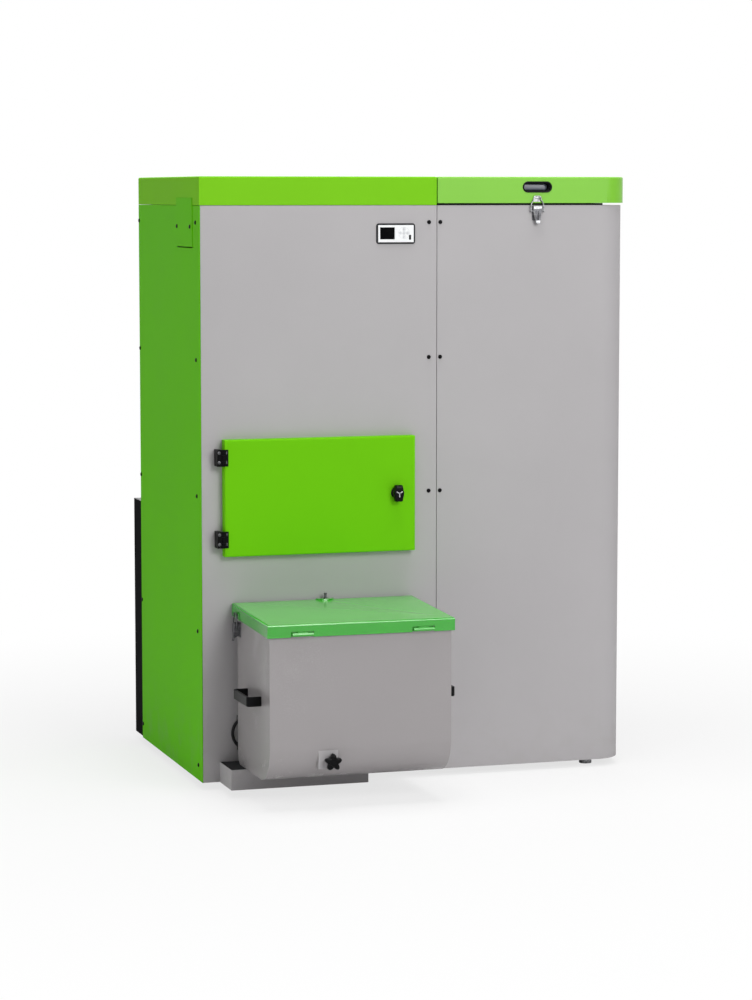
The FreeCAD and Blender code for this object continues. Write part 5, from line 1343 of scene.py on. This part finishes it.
@dataclass
class FireDoor:
    """Green door pan with hinges, lining, rope seal and wing lock."""
    screws: ScrewField
    fold: float = 0.6
    short_edge: float = 6.0
    crown: float = 1.4
    lining_fold: float = 2.0
    rope_fold: float = 2.8
    leaf_fold: float = 0.8
    leaf_edge: float = 1.2
    leaf_gauge: float = 2.0
    block_height: float = 38.0
    block_rows: Span = (9.0, 31.0)
    screw_inset: float = 4.4
    screw: tuple[float, ...] = (3.7, 1.3, 2.0, 0.9)
    rivet_inset: float = 4.2
    rivet_radius: float = 1.3
    rivet_half: float = 3.5
    knob_half: float = 12.0
    knob_wing: float = 19.0
    wing_half: float = 8.2
    rod: Profile = ((5.0, -2.0), (5.0, 27.0), (6.6, 27.0), (6.6, 31.2), (5.6, 31.6))
    cam_half: float = 7.0
    cam_drop: float = 30.0
    cam_corner: float = 6.5
    arm: Span = (0.6, 8.6)
    arm_half: float = 1.2
    arm_corner: float = 1.1

    def build(self) -> None:
        """Dress the door and fit it out."""
        dressed("fire_door", Paint.GREEN, self.fold, least=self.short_edge, crown=self.crown)
        dressed("door_lining", Paint.BOARD, self.lining_fold)
        dressed("door_gasket", Paint.ROPE, self.rope_fold, 4)
        for node in ("door_hinge_fixed_leaves", "door_hinge_moving_leaves"):
            dressed(node, Paint.BLACK_STEEL, self.leaf_fold, least=self.leaf_edge)
        self.hinge_screws()
        self.lock()

    def hinge_screws(self) -> None:
        """Two screws in each fixed block and two slot-headed rivets in each moving leaf."""
        low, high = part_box("door_hinge_fixed_leaves")
        rows = [base + rise * MM for base in (low.z, high.z - self.block_height * MM)
                for rise in self.block_rows]
        across, face = low.x + self.screw_inset * MM, self.block_face()
        self.screws.lay("door_hinge_screws", [(Vector((across, face, row)), FRONT) for row in rows],
                        self.screw, Paint.DARK_ZINC, "door_hinge_fixed_leaves")
        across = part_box("door_hinge_moving_leaves")[1].x - self.rivet_inset * MM
        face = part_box("fire_door")[0].y - self.leaf_gauge * MM
        rivets = Shape()
        for row in rows:
            rivets.framed(Seat(Vector((across, face, row))), (-self.rivet_radius, self.rivet_radius),
                          (-self.rivet_half, self.rivet_half), self.rivet_radius,
                          ((0.0, -0.2), (0.0, 0.3), (0.4, 0.55)))
        fitted("door_hinge_rivets", rivets, Paint.DARK_ZINC, "door_hinge_moving_leaves")

    def block_face(self) -> float:
        """Front face of the fixed hinge blocks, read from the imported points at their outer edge.

        Returns:
            Its place along y in metres.
        """
        points = [vert.co for vert in NODES["door_hinge_fixed_leaves"].data.vertices]
        edge = min(point.x for point in points)
        return min(point.y for point in points if point.x < edge + 0.5 * MM)

    def wing(self, share: float) -> Callable[[float], float]:
        """Outline of the knob: round at 0, drawn out to wings above and below at 1.

        Args:
            share: How far the wings are drawn out.

        Returns:
            Factor on the hub's radius by angle.
        """
        tip = math.atan2(self.knob_wing, self.wing_half)
        touch = tip - math.acos(self.knob_half / math.hypot(self.knob_wing, self.wing_half))

        def factor(angle: float) -> float:
            """Reach at an angle as a share of the hub's radius.

            Args:
                angle: Angle in radians.

            Returns:
                The factor.
            """
            lean = math.atan2(abs(math.sin(angle)), abs(math.cos(angle)))
            reach = 1.0 / math.cos(max(0.0, lean - touch))
            if lean > tip:
                reach = self.knob_wing / self.knob_half / math.sin(lean)
            return 1.0 + (reach - 1.0) * share
        return factor

    def lock(self) -> None:
        """Wing knob with a bright three-armed key insert, its rod and cam behind the door."""
        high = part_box("door_lock")[1]
        place = Vector((middle("door_lock").x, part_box("fire_door")[0].y, high.z - self.knob_wing * MM))
        seat = Seat(place)
        stations = ((14.0, 0.3, 0.0), (14.0, 1.6, 0.0), (12.6, 2.4, 0.0), (10.6, 4.0, 0.0), (10.8, 6.4, 0.4),
                    (11.9, 7.4, 1.0), (12.0, 8.2, 1.0), (12.0, 18.4, 1.0), (11.5, 20.4, 1.0),
                    (10.4, 21.6, 1.0), (8.4, 22.2, 0.7), (7.4, 22.2, 0.0), (7.2, 21.4, 0.0), (3.0, 21.4, 0.0))
        shape = Shape().loft([round_ring(seat, radius, depth, 72, self.wing(share))
                              for radius, depth, share in stations])
        shape.turned(replace(seat, out=REAR), self.rod)
        shape.framed(Seat(Vector((place.x, high.y, place.z))), (-self.cam_half, self.cam_half),
                     (-self.cam_drop, self.cam_half), self.cam_corner,
                     ((0.4, 0.0), (0.0, 0.4), (0.0, 2.6), (0.4, 3.0)))
        stand_in("door_lock", shape, Paint.BLACK_PLASTIC)
        insert = Shape()
        for turn in (-30.0, -150.0, 90.0):
            way = Matrix.Rotation(math.radians(turn), 3, "Y")
            insert.framed(replace(seat, across=way @ seat.across, up=way @ seat.up), self.arm,
                          (-self.arm_half, self.arm_half), self.arm_corner,
                          ((0.0, 21.2), (0.0, 22.6), (0.3, 22.9)), 4)
        show("door_lock_insert", insert.mesh("door_lock_insert"), Paint.ZINC, "door_lock")


@dataclass
class AshBox:
    """Ash box on its plinth: tub, tilted lid, handles, hinges, latches, clamp knob and lead."""
    plinth_fold: float = 0.8
    tub_fold: float = 1.1
    lid_fold: float = 1.0
    handle_fold: float = 1.8
    short_edge: float = 4.0
    leaf_fold: float = 0.4
    leaf_edge: float = 1.2
    knob_hub: float = 11.4
    knob_tip: float = 19.5
    lobes: int = 5
    lobe_power: float = 0.75
    stem: Profile = ((4.0, -4.3), (5.0, -3.6), (5.0, 1.0), (4.0, 1.2))
    latch_out: float = 10.5
    latch_drop: float = 3.5
    lid_step: float = 6.5
    peg: Profile = ((5.2, -13.0), (5.2, -11.4), (3.2, -10.8), (3.0, -3.4), (3.6, -2.8), (3.6, -1.0),
                    (2.8, -0.2), (1.2, 0.0))

    def build(self) -> None:
        """Dress the box and fit it out."""
        # The plinth's top faces take black rubber as painted shadow under the box.
        paint_light_by_facing(dressed("bin_plinth", Paint.GREY, self.plinth_fold), Paint.RUBBER)
        dressed("ash_bin", Paint.BIN_GREY, self.tub_fold, least=self.short_edge)
        # The ash lid's top faces take the lighter green as painted sheen.
        paint_light_by_facing(dressed("bin_lid", Paint.LID_GREEN, self.lid_fold, least=self.short_edge),
                 Paint.SHEEN_LID_TOP_GREEN)
        dressed("knob_bracket", Paint.GREY, self.lid_fold)
        dressed("bin_handles", Paint.BLACK_PLASTIC, self.handle_fold, 3)
        for node in ("bin_hinge_upper_leaves", "bin_hinge_lower_leaves"):
            dressed(node, Paint.LID_GREEN, self.leaf_fold, least=self.leaf_edge)
        painted(Paint.RUBBER, "bin_lead")
        self.clamp_knob()
        self.latches()

    def star(self, share: float) -> Callable[[float], float]:
        """Outline of the clamp knob: lobed at 1, round at 0."""
        def factor(angle: float) -> float:
            """Reach at an angle as a share of the radius.

            Args:
                angle: Angle in radians.

            Returns:
                The factor.
            """
            wave = 0.5 + 0.5 * math.cos(self.lobes * (angle - math.pi / 2))
            reach = self.knob_hub + (self.knob_tip - self.knob_hub) * wave ** self.lobe_power
            return 1.0 + (reach / self.knob_tip - 1.0) * share
        return factor

    def clamp_knob(self) -> None:
        """Five-lobed hand knob on a round neck."""
        low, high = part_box("star_knob")
        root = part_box("knob_bracket")[0].y
        seat = Seat(Vector((middle("star_knob").x, root, high.z - self.knob_tip * MM)))
        front = (root - low.y) / MM
        tip = self.knob_tip
        stations = ((9.0, 0.3, 0.0), (9.0, 6.4, 0.0), (10.4, 8.6, 0.2), (tip * 0.93, 9.4, 1.0),
                    (tip, 11.2, 1.0), (tip, 20.4, 1.0), (tip * 0.97, 22.6, 1.0), (tip * 0.88, 24.1, 1.0),
                    (tip * 0.7, 24.8, 0.8), (9.6, front, 0.0), (8.8, front - 0.2, 0.0),
                    (8.5, front - 1.2, 0.0), (3.0, front - 1.0, 0.0))
        shape = Shape().loft([round_ring(seat, radius, depth, 80, self.star(share))
                              for radius, depth, share in stations])
        stand_in("star_knob", shape.turned(seat, self.stem), Paint.BLACK_PLASTIC)

    def latches(self) -> None:
        """Toggle latch on each side of the box, and the peg on the lid."""
        bases, keepers = Shape(), Shape()
        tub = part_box("ash_bin")
        for side, wall, along, out in (("left", tub[0].x, REAR, LEFT), ("right", tub[1].x, FRONT, RIGHT)):
            lever, bail = f"{side}_bin_latch_lever", f"{side}_bin_latch_bail"
            pivot = Vector((wall, middle(lever).y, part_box(lever)[1].z - self.latch_drop * MM))
            # The latches on both sides take the darker plating, bases included, as painted shade copied from
            # the left latch that stands in shade.
            latch = ToggleLatch(Seat(pivot, along, out), self.latch_out, self.lid_step, lever, bail,
                                Paint.DARK_ZINC)
            for store, part in ((bases, latch.base()), (keepers, latch.keeper())):
                mesh = part.mesh("part")
                store.bm.from_mesh(mesh)
                bpy.data.meshes.remove(mesh)
            latch.moving()
        stand_in("bin_latch_bases", bases, Paint.DARK_ZINC)
        keepers.turned(Seat(self.peg_top(), RIGHT, UP, REAR), self.peg)
        stand_in("bin_lid_fittings", keepers, Paint.DARK_ZINC)

    def peg_top(self) -> Vector:
        """Top of the peg at the back of the lid, read from its imported points.

        Returns:
            Middle of its top.
        """
        points = [vert.co for vert in NODES["bin_lid_fittings"].data.vertices]
        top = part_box("bin_lid_fittings")[1].z
        ring = [point for point in points if point.z > top - 1.0 * MM]
        centre = sum(ring, Vector()) / len(ring)
        return Vector((centre.x, centre.y, top))


@dataclass
class RearUnit:
    """Black cover over the smoke fan, flue spigot and water stubs."""
    louvres: LouvreField
    cover_fold: float = 0.8
    casing_fold: float = 0.5
    short_edge: float = 4.0
    vent_length: float = 90.0
    vent_height: float = 6.0
    vent_pitch: float = 16.0
    vent_left: float = 60.0
    vent_bottom: float = 118.0
    vent_rows: int = 14
    vent_columns: int = 2
    slat_lap: float = 3.0
    slat_rise: float = 0.6
    slat_sink: float = 0.2
    slat: Triple = (7.0, 6.0, 1.2)
    bore: float = 13.0
    neck: float = 15.0
    crest: float = 16.6
    root: float = 15.5
    thread_pitch: float = 2.3
    thread_length: float = 36.0
    thread_start: float = -37.4

    def build(self) -> None:
        """Dress the cover, hang its louvres and cut the threads."""
        cover = dressed("rear_fan_cover", Paint.BLACK, self.cover_fold, least=self.short_edge)
        # The cover's left flank takes the darker black as painted shade.
        paint_light_by_facing(cover, Paint.SHADED_FLANK_BLACK, LEFT)
        low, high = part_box("rear_fan_cover")
        points = []
        for column in range(self.vent_columns):
            across = self.vent_left + column * (self.vent_length + self.vent_pitch) + self.vent_length / 2
            for row in range(self.vent_rows):
                rise = self.vent_bottom + row * self.vent_pitch + self.vent_height + self.slat_rise
                points.append((Vector((low.x + across * MM, high.y - self.slat_sink * MM,
                                       low.z + rise * MM)), REAR))
        self.louvres.lay("vent_louvres", points, (self.vent_length + self.slat_lap, *self.slat),
                         Paint.BLACK, "rear_fan_cover")
        dressed("smoke_fan_casing", Paint.BLACK, self.casing_fold, least=self.short_edge)
        self.stubs()

    def stubs(self) -> None:
        """Water stubs with cut threads."""
        low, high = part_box("water_stubs")
        length = (high.y - low.y) / MM
        profile = [(self.bore, -length), (self.neck, -length), (self.neck, self.thread_start - 1.0),
                   (self.neck + 1.0, self.thread_start - 0.6)]
        for turn in range(int(self.thread_length / self.thread_pitch)):
            start = self.thread_start + turn * self.thread_pitch
            profile += [(self.crest, start), (self.crest, start + 0.5), (self.root, start + 1.3),
                        (self.root, start + 1.7)]
        profile += [(self.root + 0.1, -0.5), (self.neck, 0.0), (self.bore + 0.6, 0.0), (self.bore, -0.6),
                    (self.bore, -length)]
        shape = Shape()
        for height in (low.z + self.crest * MM, high.z - self.crest * MM):
            seat = Seat(Vector((middle("water_stubs").x, high.y, height)), out=REAR)
            shape.turned(seat, profile, 40, False)
        stand_in("water_stubs", shape, Paint.ZINC)


@dataclass
class Insides:
    """Working pieces behind the sheets, seen through the open lid, door and box."""

    def build(self) -> None:
        """Give each piece its finish."""
        painted(Paint.STEEL, "hopper_funnel", "feed_tube", "feed_screw", "ash_screw_tube", "ash_screw",
                "boiler_vessel")
        painted(Paint.BLACK, "drive_motors")
        painted(Paint.BOARD, "firebox_lining")
        painted(Paint.IRON, "burn_pot")
        painted(Paint.ALLOY, "smoke_fan_wheel")


@dataclass(frozen=True)
class Lamp:
    """Square soft lamp that looks at a point."""
    name: str
    place: Triple
    aim: Triple
    size: float
    power: float

    def hang(self) -> None:
        """Put the lamp into the scene."""
        data = bpy.data.lights.new(self.name, "AREA")
        data.size = self.size
        data.energy = self.power
        lamp = bpy.data.objects.new(self.name, data)
        lamp.location = self.place
        lamp.rotation_euler = (Vector(self.aim) - Vector(self.place)).to_track_quat("-Z", "Y").to_euler()
        bpy.context.scene.collection.objects.link(lamp)


@dataclass
class Studio:
    """Camera, soft lamps, white surroundings and a pale floor."""
    camera_place: Triple = (-2.154497, -6.732452, 1.36067)
    camera_yaw: float = 17.4743
    camera_pitch: float = 5.8829
    lens: float = 106.979
    sensor: float = 36.0
    sight: float = 60.0
    sky: float = 0.24
    floor_half: float = 9.0
    lamps: tuple[Lamp, ...] = (
        Lamp("Key", (0.9, -4.8, 3.1), (0.0, 0.0, 0.8), 1.6, 98.0),
        Lamp("Sheen", (2.0, -4.4, 1.9), (0.3, -0.2, 1.2), 1.5, 28.0),
        Lamp("Fill", (-4.8, -0.5, 2.0), (0.0, 0.0, 0.7), 2.4, 33.0),
        Lamp("Top", (0.0, -0.5, 4.6), (0.0, 0.0, 0.0), 2.4, 130.0),
        Lamp("Back", (1.4, 5.0, 2.8), (0.0, 0.0, 0.7), 2.4, 60.0))

    def build(self) -> None:
        """Set everything up."""
        self.camera()
        self.surroundings()
        for lamp in self.lamps:
            lamp.hang()
        self.floor()
        bpy.context.scene.view_settings.view_transform = "Standard"

    def camera(self) -> None:
        """Camera at the photograph's place."""
        data = bpy.data.cameras.new("Camera")
        data.lens = self.lens
        data.sensor_width = self.sensor
        data.clip_end = self.sight
        camera = bpy.data.objects.new("Camera", data)
        camera.location = self.camera_place
        camera.rotation_euler = (math.radians(90.0 - self.camera_pitch), 0.0,
                                 math.radians(-self.camera_yaw))
        bpy.context.scene.collection.objects.link(camera)
        bpy.context.scene.camera = camera

    def surroundings(self) -> None:
        """White world for the camera and for reflections, softer for the light it sheds."""
        world = bpy.data.worlds.new("Surroundings")
        world.use_nodes = True
        world.node_tree.nodes.clear()
        graph = Graph(world.node_tree)
        path = graph.node("ShaderNodeLightPath", output="Is Camera Ray")
        bent = path.maths("MAXIMUM", path.other("Is Glossy Ray"), path.other("Is Transmission Ray"))
        seen = path.maths("MAXIMUM", path, bent)
        sky = graph.node("ShaderNodeBackground", sockets={
            "Color": (1.0, 1.0, 1.0, 1.0), "Strength": self.sky + seen * (1.0 - self.sky)})
        graph.node("ShaderNodeOutputWorld", sockets={"Surface": sky})
        bpy.context.scene.world = world

    def floor(self) -> None:
        """Pale floor that keeps the shadow."""
        mesh = bpy.data.meshes.new("Floor")
        half = self.floor_half
        mesh.from_pydata([(-half, -half, 0.0), (half, -half, 0.0), (half, half, 0.0), (-half, half, 0.0)], [],
                         [(0, 1, 2, 3)])
        mesh.materials.append(PaperFloor("Paper floor").material())
        floor = bpy.data.objects.new("Floor", mesh)
        bpy.context.scene.collection.objects.link(floor)


def main() -> None:
    """Build the boiler's pieces in order, then the studio."""
    logging.basicConfig(level=logging.INFO, format="%(message)s")
    screws = ScrewField("Button screws")
    louvres = LouvreField("Louvres")
    for assembly in (Cabinet(screws), HopperLid(screws), ControlPanel(), FireDoor(screws), AshBox(),
                     RearUnit(louvres), Insides(), Studio()):
        assembly.build()


if __name__ == "__main__":
    main()
